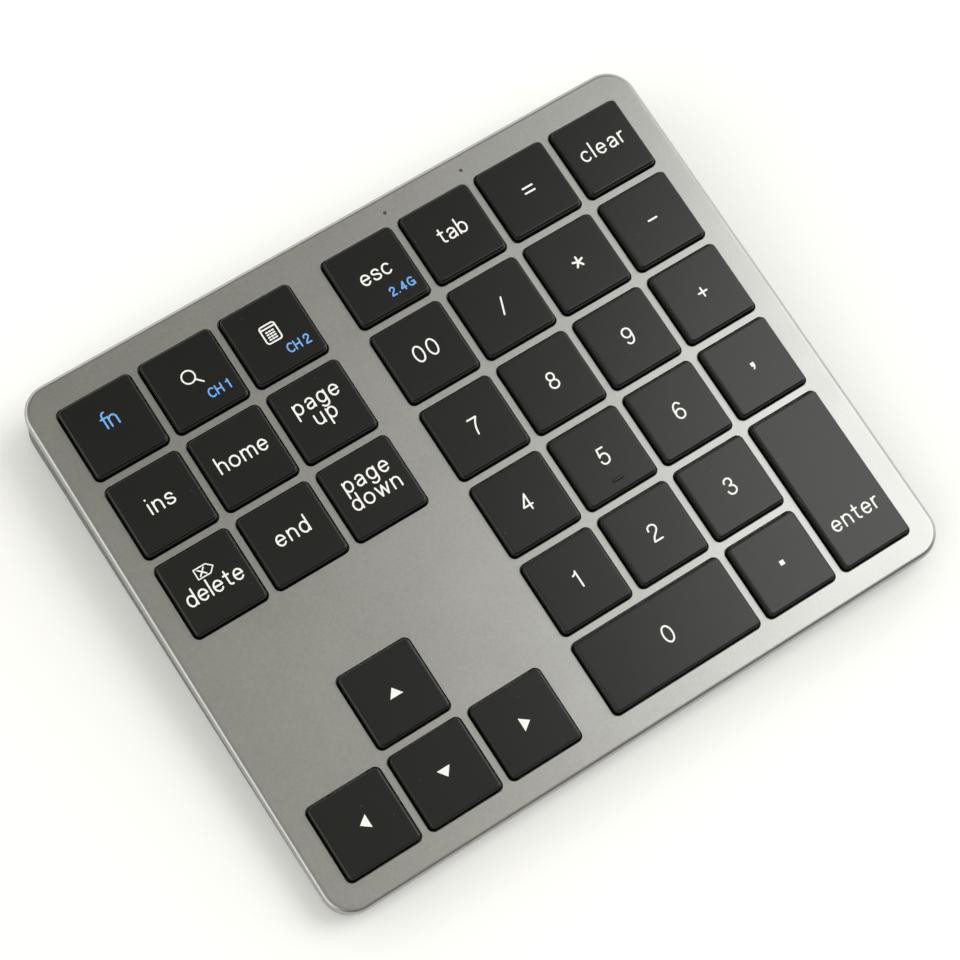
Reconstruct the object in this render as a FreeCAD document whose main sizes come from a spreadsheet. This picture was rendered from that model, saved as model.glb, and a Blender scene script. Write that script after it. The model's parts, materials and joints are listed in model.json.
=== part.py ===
"""Wireless numeric keypad: a wedge-shaped case, thirty-five scissor keys and what works them.

Lengths are in millimetres. The row frame has +Z up and +X to the user's right. Its origin is
under the middle of the keypad, on the surface that the rubber feet stand on. Most pieces are
drawn in the plate frame instead: its origin is the middle of the top cover's upper face, its
z axis is that face's normal, and it is tilted about X by the wedge angle.
"""
import FreeCAD, Part
import math
import os
import Sketcher
from FreeCAD import Placement, Rotation, Vector

DIMENSIONS = [
    # the grid of keys
    ("pitch", 19.05),            # spacing of the keys, both ways
    ("block_gap", 6.0),          # extra space between the third and fourth columns
    ("rear_row", 47.07),         # middle of the rear row, from the middle of the cover
    # the case
    ("case_width", 149.0),
    ("case_depth", 125.0),
    ("case_corner", 6.4),
    ("tilt", 3.7),               # degrees: how far the keys lean towards the user
    ("front_height", 6.2),       # cover face to base, at the front edge
    ("plate_shift", -0.376),      # puts the origin under the middle of the case
    ("cover_skin", 1.0),         # thickness of the aluminium
    ("cover_rim", 2.6),          # height of the cover's turned-down edge
    ("cover_round", 1.05),
    ("opening", 17.6),           # side of the square opening for one key
    ("opening_corner", 1.5),
    ("seam_step", 0.3),          # how far the lower case stands in from the cover
    ("seam_gap", 0.15),
    ("case_wall", 1.6),
    ("case_floor", 1.4),
    ("case_round", 1.2),
    ("lip_gap", 0.1),
    ("lip_wall", 0.8),
    ("lip_top", 1.4),            # depth of the locating lip's upper edge below the face
    # the keycaps
    ("cap_side", 17.1),
    ("cap_corner", 1.3),
    ("cap_skirt", 0.7),          # how far the skirt hangs below the face
    ("cap_rise", 1.9),           # how far the cap stands above the face
    ("cap_lean", 9.0),           # degrees: inward lean of the skirt
    ("cap_round", 0.42),
    ("cap_wall", 1.2),
    ("cap_roof", 1.0),
    ("clip_drop", 0.8),
    ("clip_width", 0.5),
    ("clip_length", 3.2),
    ("clip_offset", 0.4),        # from the outer link to the clips
    ("link_end", 3.6),           # from the key's middle to its clips, and to its tabs
    ("homing_bar", 2.8),
    ("homing_width", 0.8),
    ("homing_height", 0.3),
    ("homing_front", 5.6),       # from the key's middle to the bar
    ("homing_root", 0.05),
    # the key support
    ("film", 0.1),               # each of the three membrane films
    ("film_top", 2.7),           # depth of the upper film below the face
    ("film_margin", 2.7),        # films and plate stand this far in from the case, each side
    ("steel", 0.5),
    ("tab_width", 0.5),
    ("tab_length", 2.4),
    ("tab_height", 0.9),
    ("tab_reach", 5.9),          # from the key's middle to its tabs
    ("link_half", 4.6),          # half the length of a scissor link
    ("link_angle", 17.5),
    ("link_middle", 0.85),       # depth of the links' shared pivot below the face
    ("link_stock", 0.6),
    ("outer_link", 5.2),         # half widths of the two links
    ("inner_link", 4.3),
    ("link_pin", 0.28),
    ("link_hole", 0.33),
    ("dome_foot", 2.9),
    ("dome_top", 1.7),
    ("dome_skin", 0.45),
    ("dome_height", 3.5),
    # stabilizer wires of the two long keys
    ("wire_radius", 0.35),
    ("wire_half", 13.5),         # half the length of the bar
    ("wire_arm", 7.4),
    ("wire_pin", 2.4),           # length of each turned-in end
    ("wire_bar", 6.4),           # from the key's middle to the bar
    ("wire_depth", 2.3),         # depth of the pins below the face
    ("wire_angle", 21.4),        # degrees: rise of the arms at rest
    ("wire_slack", 0.07),
    ("wire_bend", 1.1),
    ("hook_place", 8.0),         # from the key's middle to each hook, along the bar
    ("hook_back", 0.2),          # how far the hook's middle lies beyond the bar
    ("hook_width", 1.2),
    ("hook_length", 3.4),
    ("hook_skin", 0.3),
    ("slot_length", 2.3),
    ("loop_width", 0.6),         # tabs that the wires' pins turn in
    ("loop_length", 2.0),
    ("loop_height", 0.9),
    # screws
    ("screw_radius", 0.7),
    ("screw_length", 3.9),
    ("head_radius", 1.3),
    ("head_height", 0.5),
    ("boss_radius", 1.5),
    ("case_boss", 2.6),
    ("case_seat", 5.4),          # depth of the case screws' seats below the face
    ("plate_tip", 2.2),          # length of the plate screws
    ("recess_length", 1.4),
    ("recess_width", 0.3),
    ("thread_fit", 0.02),
    # the electronics
    ("board_depth", 7.0),        # depth of the board's upper side below the face
    ("board", 1.0),
    ("board_left", -5.5),
    ("board_right", 66.0),
    ("board_front", 36.0),
    ("board_rear", 60.2),
    ("board_post", 1.6),
    ("board_pin", 0.9),
    ("board_hole", 1.0),
    ("pin_reach", 0.5),          # how far the pins run into the post and above the board
    ("shield_width", 14.0),
    ("shield_depth", 12.0),
    ("shield_height", 2.2),
    ("shield_skin", 0.3),
    ("shield_x", 37.0),
    ("shield_y", 46.0),
    ("tail_x", 8.0),             # the films' tail and the connector that clamps it
    ("tail_width", 10.0),
    ("tail_drop", 32.3),
    ("tail_run", 6.2),
    ("tail_level", 0.8),         # how high the tail runs above the board
    ("connector_width", 13.0),
    ("connector_depth", 4.4),
    ("connector_height", 1.7),
    ("connector_y", 38.8),
    ("socket_x", 20.0),
    ("socket_width", 8.94),
    ("socket_height", 3.2),
    ("socket_length", 7.3),
    ("socket_skin", 0.3),
    ("socket_inset", 0.6),       # how far its mouth stands in from the case
    ("tongue_width", 6.7),
    ("tongue_height", 0.7),
    ("tongue_inset", 1.2),
    ("switch_x", 45.0),
    ("switch_travel", 2.0),
    ("switch_width", 9.0),
    ("switch_depth", 3.6),
    ("switch_height", 3.0),
    ("switch_y", 58.2),
    ("slider_width", 5.2),
    ("slider_depth", 2.2),
    ("slider_height", 1.4),
    ("slider_y", 58.7),
    ("knob_width", 2.2),
    ("knob_depth", 3.2),
    ("knob_height", 1.2),
    ("knob_y", 61.2),
    ("indicator_y", 58.5),
    ("indicator_radius", 0.4),
    ("guide_radius", 1.0),
    ("cell_width", 46.0),
    ("cell_length", 34.0),
    ("cell_height", 4.6),
    ("cell_x", -40.0),
    ("cell_y", 16.0),
    ("lead_radius", 0.5),
    ("lead_bend", 2.6),
    # the feet
    ("foot_stand", 0.8),         # how far the feet stand proud of the base
    ("foot_recess", 0.4),
    ("foot_length", 16.0),
    ("foot_width", 6.0),
    ("foot_x", 56.0),
    ("foot_y", 50.0),
]

# name, column, row, width and depth in key pitches; columns run from the left, rows from the rear
KEYS = [
    ("key_fn", 0, 0, 1, 1), ("key_search", 1, 0, 1, 1), ("key_calculator", 2, 0, 1, 1),
    ("key_esc", 3, 0, 1, 1), ("key_tab", 4, 0, 1, 1), ("key_equals", 5, 0, 1, 1),
    ("key_clear", 6, 0, 1, 1),
    ("key_insert", 0, 1, 1, 1), ("key_home", 1, 1, 1, 1), ("key_page_up", 2, 1, 1, 1),
    ("key_double_zero", 3, 1, 1, 1), ("key_divide", 4, 1, 1, 1), ("key_multiply", 5, 1, 1, 1),
    ("key_minus", 6, 1, 1, 1),
    ("key_delete", 0, 2, 1, 1), ("key_end", 1, 2, 1, 1), ("key_page_down", 2, 2, 1, 1),
    ("key_seven", 3, 2, 1, 1), ("key_eight", 4, 2, 1, 1), ("key_nine", 5, 2, 1, 1),
    ("key_plus", 6, 2, 1, 1),
    ("key_four", 3, 3, 1, 1), ("key_five", 4, 3, 1, 1), ("key_six", 5, 3, 1, 1),
    ("key_comma", 6, 3, 1, 1),
    ("key_up", 1, 4, 1, 1),
    ("key_one", 3, 4, 1, 1), ("key_two", 4, 4, 1, 1), ("key_three", 5, 4, 1, 1),
    ("key_enter", 6, 4, 1, 2),
    ("key_left", 0, 5, 1, 1), ("key_down", 1, 5, 1, 1), ("key_right", 2, 5, 1, 1),
    ("key_zero", 3, 5, 2, 1), ("key_point", 5, 5, 1, 1),
]

GAP_X = "-dims.pitch / 2"    # middle of the space between the two blocks of keys
CORNER_SCREWS = [(x, y) for x in ("-69.9", "69.9") for y in ("-57.9", "57.9")]
MIDDLE_SCREWS = [(GAP_X, "dims.rear_row - dims.pitch / 2"),
                 (GAP_X, "dims.rear_row - dims.pitch * 4.5")]
CASE_SCREWS = CORNER_SCREWS + MIDDLE_SCREWS
PLATE_SCREWS = [("-70.9", "19"), ("-70.9", "-19"), ("70.9", "19"), ("70.9", "-19"),
                (GAP_X, "57.9"), (GAP_X, "9"), (GAP_X, "-10.08"), (GAP_X, "-58.6"),
                ("-60.15", "-10.08"), ("-22.05", "-10.08"), ("-60.15", "-29.1"),
                ("-22.05", "-29.1"), ("-41.1", "-10.08")]
INDICATORS = [(f"dims.block_gap / 2 + dims.pitch * {half}", "dims.indicator_y")
              for half in (0.5, 1.5)]
FEET = [(side_x, side_y) for side_x in (-1, 1) for side_y in (-1, 1)]
BOARD_POSTS = [("0", "56"), ("0", "47"), ("62", "56"), ("62", "40")]
LEAD_ENDS = [((-16.9, 26.0), (-9.0, 26.0), (-1.6, 33.0), (-1.6, 41.0)),
             ((-16.9, 27.5), (-9.9, 27.5), (-3.1, 33.0), (-3.1, 41.0))]
LEAD_DEPTH = 6.45
BELOW = "20"                 # a depth below the whole keypad
BEYOND = "200"               # a length greater than the keypad's, for blocks that trim it

document = FreeCAD.newDocument("numeric_keypad")
sheet = document.addObject("Spreadsheet::Sheet", "dims")
for line, (alias, value) in enumerate(DIMENSIONS, 1):
    sheet.set(f"A{line}", alias)
    sheet.set(f"B{line}", str(value))
    sheet.setAlias(f"B{line}", alias)
document.recompute()
sub_parts = []


# ---------------------------------------------------------------- small helpers

def number(expression):
    """The value of an expression of the sheet's cells."""
    return float(sheet.evalExpression(str(expression)))


def bind(item, **properties):
    """Binds properties of a document object to expressions; __ stands for a dot."""
    for name, expression in properties.items():
        item.setExpression(name.replace("__", "."), str(expression))


def key_x(column, width):
    side = 0.5 if column >= 3 else -0.5
    return f"dims.pitch * {column - 3 + (width - 1) / 2} + dims.block_gap * {side}"


def key_y(row, depth):
    return f"dims.rear_row - dims.pitch * {row + (depth - 1) / 2}"


def key_side(units, side):
    """Length of a side that spans some key pitches, where one pitch gives the named side."""
    return f"dims.{side} + dims.pitch * {units - 1}"


def key_middles():
    return [(key_x(column, width), key_y(row, depth)) for _, column, row, width, depth in KEYS]


def seat(item, x="0", y="0", z="0"):
    """Places an object by its plate-frame position, tilted with the plate."""
    item.Placement = Placement(Vector(), Rotation(Vector(1, 0, 0), number("dims.tilt")))
    lift = "dims.foot_stand + dims.front_height * cos(dims.tilt * 1 deg)"
    lift += " + dims.case_depth / 2 * sin(dims.tilt * 1 deg)"
    bind(item, Placement__Rotation__Angle="dims.tilt * 1 deg", Placement__Base__x=x,
         Placement__Base__y=f"dims.plate_shift + ({y}) * cos(dims.tilt * 1 deg)"
                            f" - ({z}) * sin(dims.tilt * 1 deg)",
         Placement__Base__z=f"{lift} + ({y}) * sin(dims.tilt * 1 deg)"
                            f" + ({z}) * cos(dims.tilt * 1 deg)")


def stand(item, x="0", y="0", z="0"):
    """Places an object level, by its row-frame position."""
    item.Placement = Placement()
    bind(item, Placement__Base__x=x, Placement__Base__y=y, Placement__Base__z=z)


def keep(item, label):
    """Makes an object one of the sub-parts, under its file's name."""
    item.Label = label
    sub_parts.append(item)
    return item


def blank_body(name):
    """A body that isn't a sub-part itself, for a boolean to finish."""
    return document.addObject("PartDesign::Body", name)


def new_body(label):
    return keep(blank_body(label), label)


def new_sketch(body, name, role="XY_Plane", height="0"):
    """A sketch on one of the body's own origin planes, raised by a height."""
    sketch = body.newObject("Sketcher::SketchObject", name)
    plane = next(item for item in body.Origin.OriginFeatures if item.Role == role)
    sketch.AttachmentSupport = [(plane, "")]
    sketch.MapMode = "FlatFace"
    bind(sketch, AttachmentOffset__Base__z=height)
    return sketch


def free_sketch(name):
    """A sketch of its own, for an extrusion that a boolean uses."""
    return document.addObject("Sketcher::SketchObject", name)


def constrain(sketch, rules, sizes):
    """Adds the rules of a shape, then its sizes: each a name, a kind, points and an expression."""
    first = sketch.ConstraintCount + len(rules)
    fixed = [Sketcher.Constraint(kind, *points, number(expression))
             for _, kind, points, expression in sizes]
    sketch.addConstraint(rules + fixed)
    for index, (name, _, _, expression) in enumerate(sizes, first):
        sketch.renameConstraint(index, name)
        sketch.setExpression(f"Constraints.{name}", str(expression))


def outline_sizes(tag, lines, left, front, width, depth):
    """An upright rectangle's left and front sides, its width and its depth."""
    front_line, right_line, rear_line, left_line = lines
    return [(f"{tag}_left", "DistanceX", (-1, 1, left_line, 1), left),
            (f"{tag}_front", "DistanceY", (-1, 1, front_line, 1), front),
            (f"{tag}_width", "DistanceX", (left_line, 1, right_line, 1), width),
            (f"{tag}_depth", "DistanceY", (front_line, 1, rear_line, 1), depth)]


def rectangle(sketch, tag, width, depth, x="0", y="0"):
    """A rectangle centred on (x, y), bound to the sheet."""
    wide, deep, middle_x, middle_y = (number(value) for value in (width, depth, x, y))
    left, right = middle_x - wide / 2, middle_x + wide / 2
    front, rear = middle_y - deep / 2, middle_y + deep / 2
    corners = [Vector(left, front), Vector(right, front), Vector(right, rear), Vector(left, rear)]
    first = sketch.GeometryCount
    sketch.addGeometry([Part.LineSegment(corners[side], corners[(side + 1) % 4])
                        for side in range(4)], False)
    rules = []
    for side in range(4):
        rules.append(Sketcher.Constraint("Coincident", first + side, 2, first + (side + 1) % 4, 1))
        rules.append(Sketcher.Constraint("Vertical" if side % 2 else "Horizontal", first + side))
    constrain(sketch, rules, outline_sizes(tag, range(first, first + 4), f"{x} - ({width}) / 2",
                                           f"{y} - ({depth}) / 2", width, depth))


def rounded_rectangle(sketch, tag, width, depth, radius, x="0", y="0"):
    """A rectangle with round corners centred on (x, y), bound to the sheet."""
    wide, deep, curve = number(width), number(depth), number(radius)
    middle_x, middle_y = number(x), number(y)
    left, right = middle_x - wide / 2, middle_x + wide / 2
    front, rear = middle_y - deep / 2, middle_y + deep / 2
    lines = [((left + curve, front), (right - curve, front)),
             ((right, front + curve), (right, rear - curve)),
             ((right - curve, rear), (left + curve, rear)),
             ((left, rear - curve), (left, front + curve))]
    centres = [(right - curve, front + curve), (right - curve, rear - curve),
               (left + curve, rear - curve), (left + curve, front + curve)]
    first = sketch.GeometryCount
    shapes = []
    for side in range(4):
        start, end = lines[side]
        turn = math.radians(270 + 90 * side)
        circle = Part.Circle(Vector(*centres[side]), Vector(0, 0, 1), curve)
        shapes.append(Part.LineSegment(Vector(*start), Vector(*end)))
        shapes.append(Part.ArcOfCircle(circle, turn, turn + math.pi / 2))
    sketch.addGeometry(shapes, False)
    rules = []
    for side in range(4):
        line, arc, following = first + 2 * side, first + 2 * side + 1, first + (2 * side + 2) % 8
        rules.append(Sketcher.Constraint("Tangent", line, 2, arc, 1))
        rules.append(Sketcher.Constraint("Tangent", arc, 2, following, 1))
        rules.append(Sketcher.Constraint("Vertical" if side % 2 else "Horizontal", line))
        if side:
            rules.append(Sketcher.Constraint("Equal", first + 1, arc))
    sizes = outline_sizes(tag, range(first, first + 8, 2), f"{x} - ({width}) / 2",
                          f"{y} - ({depth}) / 2", width, depth)
    constrain(sketch, rules, sizes + [(f"{tag}_radius", "Radius", (first + 1,), radius)])


def circles(sketch, tag, middles, radius):
    """A circle at each of some places, all of one radius."""
    sizes = []
    first = sketch.GeometryCount
    for index, (x, y) in enumerate(middles):
        middle = Vector(number(x), number(y))
        sketch.addGeometry(Part.Circle(middle, Vector(0, 0, 1), number(radius)), False)
        sizes += [(f"{tag}{index}_x", "DistanceX", (-1, 1, first + index, 3), x),
                  (f"{tag}{index}_y", "DistanceY", (-1, 1, first + index, 3), y),
                  (f"{tag}{index}_radius", "Radius", (first + index,), radius)]
    constrain(sketch, [], sizes)


def pad(body, sketch, length, down=False, lean="0", both_ways=False):
    feature = body.newObject("PartDesign::Pad", f"{sketch.Name}_pad")
    feature.Profile = sketch
    feature.Reversed = down
    feature.Midplane = both_ways
    bind(feature, Length=length)
    if lean != "0":
        bind(feature, TaperAngle=lean)
    sketch.Visibility = False
    return feature


def pocket(body, sketch, depth, up=False, both_ways=False):
    """Cuts a sketch out of the body, and makes sure that it cut something."""
    document.recompute([body.Tip])
    before = body.Tip.Shape.Volume
    feature = body.newObject("PartDesign::Pocket", f"{sketch.Name}_pocket")
    feature.Profile = sketch
    feature.Reversed = up
    feature.Midplane = both_ways
    bind(feature, Length=depth)
    document.recompute([feature])
    if not feature.Shape.Volume < before - 1e-6:
        raise RuntimeError(f"{feature.Name} cuts nothing")
    return feature


def round_face(body, feature, radius, height):
    """Rounds the edges of the flat faces that lie at a height in the body's own frame."""
    document.recompute([feature])
    level = number(height)
    names = [f"Face{index}" for index, face in enumerate(feature.Shape.Faces, 1)
             if max(abs(face.BoundBox.ZMin - level), abs(face.BoundBox.ZMax - level)) < 1e-4]
    fillet = body.newObject("PartDesign::Fillet", f"{feature.Name}_round")
    fillet.Base = (feature, names)
    bind(fillet, Radius=radius)
    return fillet


def extrusion(name, width, depth, radius, top, bottom, x="0", y="0"):
    """An upright block with round corners between two plate-frame depths, seated on the plate."""
    sketch = free_sketch(f"{name}_outline")
    rounded_rectangle(sketch, "outline", width, depth, radius, x, y)
    block = document.addObject("Part::Extrusion", name)
    block.Base = sketch
    block.DirMode = "Custom"
    block.Dir = Vector(0, 0, 1)
    block.Solid = True
    bind(block, LengthFwd=f"({bottom}) - ({top})")
    seat(block, z=f"-({bottom})")
    return block


def post(name, radius, x, y, top, bottom):
    """A cylinder along the plate's normal between two depths."""
    cylinder = document.addObject("Part::Cylinder", name)
    bind(cylinder, Radius=radius, Height=f"({bottom}) - ({top})")
    seat(cylinder, x, y, f"-({bottom})")
    return cylinder


def level_box(name, width, depth, height, x, y, z):
    """A level box, centred on x and y and standing on z, in the row frame."""
    box = document.addObject("Part::Box", name)
    bind(box, Length=width, Width=depth, Height=height)
    stand(box, f"{x} - ({width}) / 2", f"{y} - ({depth}) / 2", z)
    return box


def plate_box(name, width, depth, top, bottom, x, y):
    """A box along the plate's normal between two depths, centred on x and y."""
    box = document.addObject("Part::Box", name)
    bind(box, Length=width, Width=depth, Height=f"({bottom}) - ({top})")
    seat(box, f"{x} - ({width}) / 2", f"{y} - ({depth}) / 2", f"-({bottom})")
    return box


def fuse(name, pieces):
    joined = document.addObject("Part::MultiFuse", name)
    joined.Shapes = pieces
    joined.Refine = True
    return joined


def cut(name, base, tools):
    """Cuts several tools from a base."""
    remaining = document.addObject("Part::Cut", name)
    remaining.Base = base
    remaining.Tool = tools[0] if len(tools) == 1 else compound(f"{name}_tools", tools)
    remaining.Refine = True
    return remaining


def compound(name, pieces):
    together = document.addObject("Part::Compound", name)
    together.Links = pieces
    return together


def common(name, first, second):
    shared = document.addObject("Part::MultiCommon", name)
    shared.Shapes = [first, second]
    return shared


def group(label, shapes):
    """One node of separate solids that are drawn in the plate frame."""
    item = document.addObject("Part::Feature", label)
    item.Shape = Part.makeCompound(shapes)
    seat(item)
    return keep(item, label)


# ---------------------------------------------------------------- keycaps

def hook_reach(sign):
    """Height of the upper (1) or lower (-1) side of the wire's slot above the cover's face."""
    return f"dims.wire_arm * sin(dims.wire_angle * 1 deg) - dims.wire_depth + {sign} * " \
           "(dims.wire_radius + dims.wire_slack)"


def wire_hooks(body, sideways):
    """Two hooks under a long cap that hold the stabilizer wire's bar.

    The bar lies in front of the middle of a wide cap, and to the left of the middle of a deep
    cap. Each hook is a block with a slot through it, longer than the wire is thick, because
    the bar draws away from its pins as the key goes down.
    """
    under = "dims.cap_rise - dims.cap_roof"
    block = ("dims.hook_width", "dims.hook_length")
    slot = ("dims.hook_width + 0.2", "dims.slot_length")
    for name, sign in (("first", -1), ("second", 1)):
        along = f"{sign} * dims.hook_place"
        across = "-dims.wire_bar - dims.hook_back"
        sizes = block if sideways else block[::-1]
        middle = (along, across) if sideways else (across, along)
        outline = new_sketch(body, f"{name}_hook", height=under)
        rectangle(outline, "hook", sizes[0], sizes[1], *middle)
        pad(body, outline, f"{under} - ({hook_reach(-1)}) + dims.hook_skin", down=True)
        sizes = slot if sideways else slot[::-1]
        opening = new_sketch(body, f"{name}_slot", height=hook_reach(1))
        rectangle(opening, "slot", sizes[0], sizes[1], *middle)
        pocket(body, opening, "2 * (dims.wire_radius + dims.wire_slack)")


def keycap(name, column, row, width, depth):
    """A moulded cap: leaning skirt, rounded edge, hollow underside and the scissor's clips."""
    body = new_body(name)
    wide, deep = key_side(width, "cap_side"), key_side(depth, "cap_side")
    outline = new_sketch(body, "skirt", height="-dims.cap_skirt")
    rounded_rectangle(outline, "skirt", wide, deep, "dims.cap_corner")
    block = pad(body, outline, "dims.cap_skirt + dims.cap_rise", lean="-dims.cap_lean")
    round_face(body, block, "dims.cap_round", "dims.cap_rise")
    hollow = new_sketch(body, "hollow", height="-dims.cap_skirt")
    rounded_rectangle(hollow, "hollow", f"{wide} - 2 * dims.cap_wall",
                      f"{deep} - 2 * dims.cap_wall", "dims.cap_corner / 2")
    pocket(body, hollow, "dims.cap_skirt + dims.cap_rise - dims.cap_roof", up=True)
    clips = new_sketch(body, "clips", height="dims.cap_rise - dims.cap_roof")
    for tag, sign in (("left", -1), ("right", 1)):
        rectangle(clips, tag, "dims.clip_width", "dims.clip_length",
                  f"{sign} * (dims.outer_link + dims.clip_offset)", "dims.link_end")
    pad(body, clips, "dims.clip_drop", down=True)
    if name == "key_five":
        bar = new_sketch(body, "homing", height="dims.cap_rise - dims.homing_root")
        rounded_rectangle(bar, "bar", "dims.homing_bar", "dims.homing_width",
                          "dims.homing_width * 0.45", "0", "-dims.homing_front")
        bar_pad = pad(body, bar, "dims.homing_height + dims.homing_root")
        round_face(body, bar_pad, "dims.homing_height * 0.8",
                   "dims.cap_rise + dims.homing_height")
    if width > 1:
        wire_hooks(body, sideways=True)
    if depth > 1:
        wire_hooks(body, sideways=False)
    seat(body, key_x(column, width), key_y(row, depth))


# ---------------------------------------------------------------- the case

def top_cover():
    """A deep-drawn aluminium cover with an opening for each key."""
    body = blank_body("cover_blank")
    outline = new_sketch(body, "cover_outline")
    rounded_rectangle(outline, "cover", "dims.case_width", "dims.case_depth", "dims.case_corner")
    block = pad(body, outline, "dims.cover_rim", down=True)
    round_face(body, block, "dims.cover_round", "0")
    inside = new_sketch(body, "cover_inside", height="-dims.cover_rim")
    rounded_rectangle(inside, "inside", "dims.case_width - 2 * dims.cover_skin",
                      "dims.case_depth - 2 * dims.cover_skin",
                      "dims.case_corner - dims.cover_skin")
    pocket(body, inside, "dims.cover_rim - dims.cover_skin", up=True)
    pinholes = new_sketch(body, "pinholes")
    circles(pinholes, "hole", INDICATORS, "dims.indicator_radius")
    pocket(body, pinholes, "dims.cover_skin")
    bosses = new_sketch(body, "cover_bosses", height="-dims.cover_skin")
    circles(bosses, "boss", CASE_SCREWS + PLATE_SCREWS, "dims.boss_radius")
    pad(body, bosses, "dims.film_top - dims.cover_skin", down=True)
    threads = new_sketch(body, "threads", height="-dims.film_top")
    circles(threads, "thread", CASE_SCREWS + PLATE_SCREWS, "dims.screw_radius + dims.thread_fit")
    pocket(body, threads, "dims.film_top - dims.cover_skin - 0.1", up=True)
    seat(body)
    openings = [extrusion(f"{name}_opening", key_side(width, "opening"),
                          key_side(depth, "opening"), "dims.opening_corner", "-1",
                          "dims.cover_skin + 0.1", key_x(column, width), key_y(row, depth))
                for name, column, row, width, depth in KEYS]
    keep(cut("top_cover_cut", body, openings), "top_cover")


def case_shell():
    """The lower case's wedge: round-cornered walls on a level floor, open at the top."""
    top = "dims.cover_rim + dims.seam_gap"
    wide = "dims.case_width - 2 * dims.seam_step"
    deep = "dims.case_depth - 2 * dims.seam_step"
    corner = "dims.case_corner - dims.seam_step"
    outside = extrusion("case_outside", wide, deep, corner, top, BELOW)
    above_base = level_box("above_base", BEYOND, BEYOND, BEYOND, "0", "0", "dims.foot_stand")
    wedge = common("case_wedge", outside, above_base)
    document.recompute([wedge])
    base = number("dims.foot_stand")
    edges = [index for index, edge in enumerate(wedge.Shape.Edges, 1)
             if abs(edge.BoundBox.ZMin - base) < 1e-4 and abs(edge.BoundBox.ZMax - base) < 1e-4]
    softened = document.addObject("Part::Fillet", "case_wedge_round")
    softened.Base = wedge
    softened.Edges = [(index, number("dims.case_round"), number("dims.case_round"))
                      for index in edges]
    inside = extrusion("case_inside", f"{wide} - 2 * dims.case_wall",
                       f"{deep} - 2 * dims.case_wall", f"{corner} - dims.case_wall", "2", BELOW)
    above_floor = level_box("above_floor", BEYOND, BEYOND, BEYOND, "0", "0",
                            "dims.foot_stand + dims.case_floor")
    return cut("case_shell", softened, [common("case_cavity", inside, above_floor)])


def case_lip():
    """The thin wall that locates the lower case inside the cover's rim."""
    wide = "dims.case_width - 2 * (dims.cover_skin + dims.lip_gap)"
    deep = "dims.case_depth - 2 * (dims.cover_skin + dims.lip_gap)"
    corner = "dims.case_corner - dims.cover_skin - dims.lip_gap"
    outer = extrusion("lip_outside", wide, deep, corner, "dims.lip_top", "dims.cover_rim + 1.4")
    inner = extrusion("lip_inside", f"{wide} - 2 * dims.lip_wall", f"{deep} - 2 * dims.lip_wall",
                      f"{corner} - dims.lip_wall", "dims.lip_top - 1", "dims.cover_rim + 3")
    return cut("case_lip", outer, [inner])


def bottom_case():
    """The moulded lower case with its screw posts, board posts and openings."""
    screw_posts = [post(f"screw_post_{index}", "dims.case_boss", x, y,
                        "dims.film_top + 3 * dims.film + dims.steel", BELOW)
                   for index, (x, y) in enumerate(CASE_SCREWS)]
    board_posts = [post(f"board_post_{index}", "dims.board_post", x, y,
                        "dims.board_depth + dims.board", BELOW)
                   for index, (x, y) in enumerate(BOARD_POSTS)]
    board_pins = [post(f"board_pin_{index}", "dims.board_pin", x, y,
                       "dims.board_depth - dims.pin_reach",
                       "dims.board_depth + dims.board + dims.pin_reach")
                  for index, (x, y) in enumerate(BOARD_POSTS)]
    posts = fuse("case_posts", screw_posts + board_posts)
    wide = "dims.case_width - 2 * (dims.seam_step + 0.5)"
    deep = "dims.case_depth - 2 * (dims.seam_step + 0.5)"
    reach = extrusion("post_reach", wide, deep, "dims.case_corner - dims.seam_step - 0.5",
                      "3", BELOW)
    above_base = level_box("post_floor", BEYOND, BEYOND, BEYOND, "0", "0",
                           "dims.foot_stand + 0.2")
    trimmed = common("posts_trimmed", common("posts_inside", posts, reach), above_base)
    solid = fuse("case_solid", [case_shell(), case_lip(), trimmed] + board_pins)
    tools = []
    for index, (x, y) in enumerate(CASE_SCREWS):
        tools.append(post(f"screw_hole_{index}", "dims.screw_radius + 0.1", x, y, "2", "8"))
        tools.append(post(f"screw_sink_{index}", "dims.head_radius + 0.3", x, y,
                          "dims.case_seat", BELOW))
    for index, (side_x, side_y) in enumerate(FEET):
        sketch = free_sketch(f"foot_recess_outline_{index}")
        foot_outline(sketch, "foot", side_x, side_y, "0.1")
        recess = document.addObject("Part::Extrusion", f"foot_recess_{index}")
        recess.Base = sketch
        recess.DirMode = "Custom"
        recess.Dir = Vector(0, 0, 1)
        recess.Solid = True
        bind(recess, LengthFwd="dims.foot_recess + 1")
        stand(recess, z="dims.foot_stand - 1")
        tools.append(recess)
    mouth_y = "dims.case_depth / 2"
    mouth = extrusion_along("socket_mouth", "dims.socket_width + 0.3", "dims.socket_height + 0.3",
                            "dims.socket_height / 2 + 0.14", "dims.socket_x", socket_depth(),
                            f"{mouth_y} - 4", "6")
    slot = plate_box("switch_slot", "dims.switch_travel + 2.6", "6", "4.4", "6.4",
                     "dims.switch_x", mouth_y)
    body = cut("bottom_case", solid, tools + [mouth, slot])
    keep(body, "bottom_case")


def socket_depth():
    """Depth of the socket's middle below the face: it stands on the board."""
    return "dims.board_depth - dims.socket_height / 2"


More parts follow.
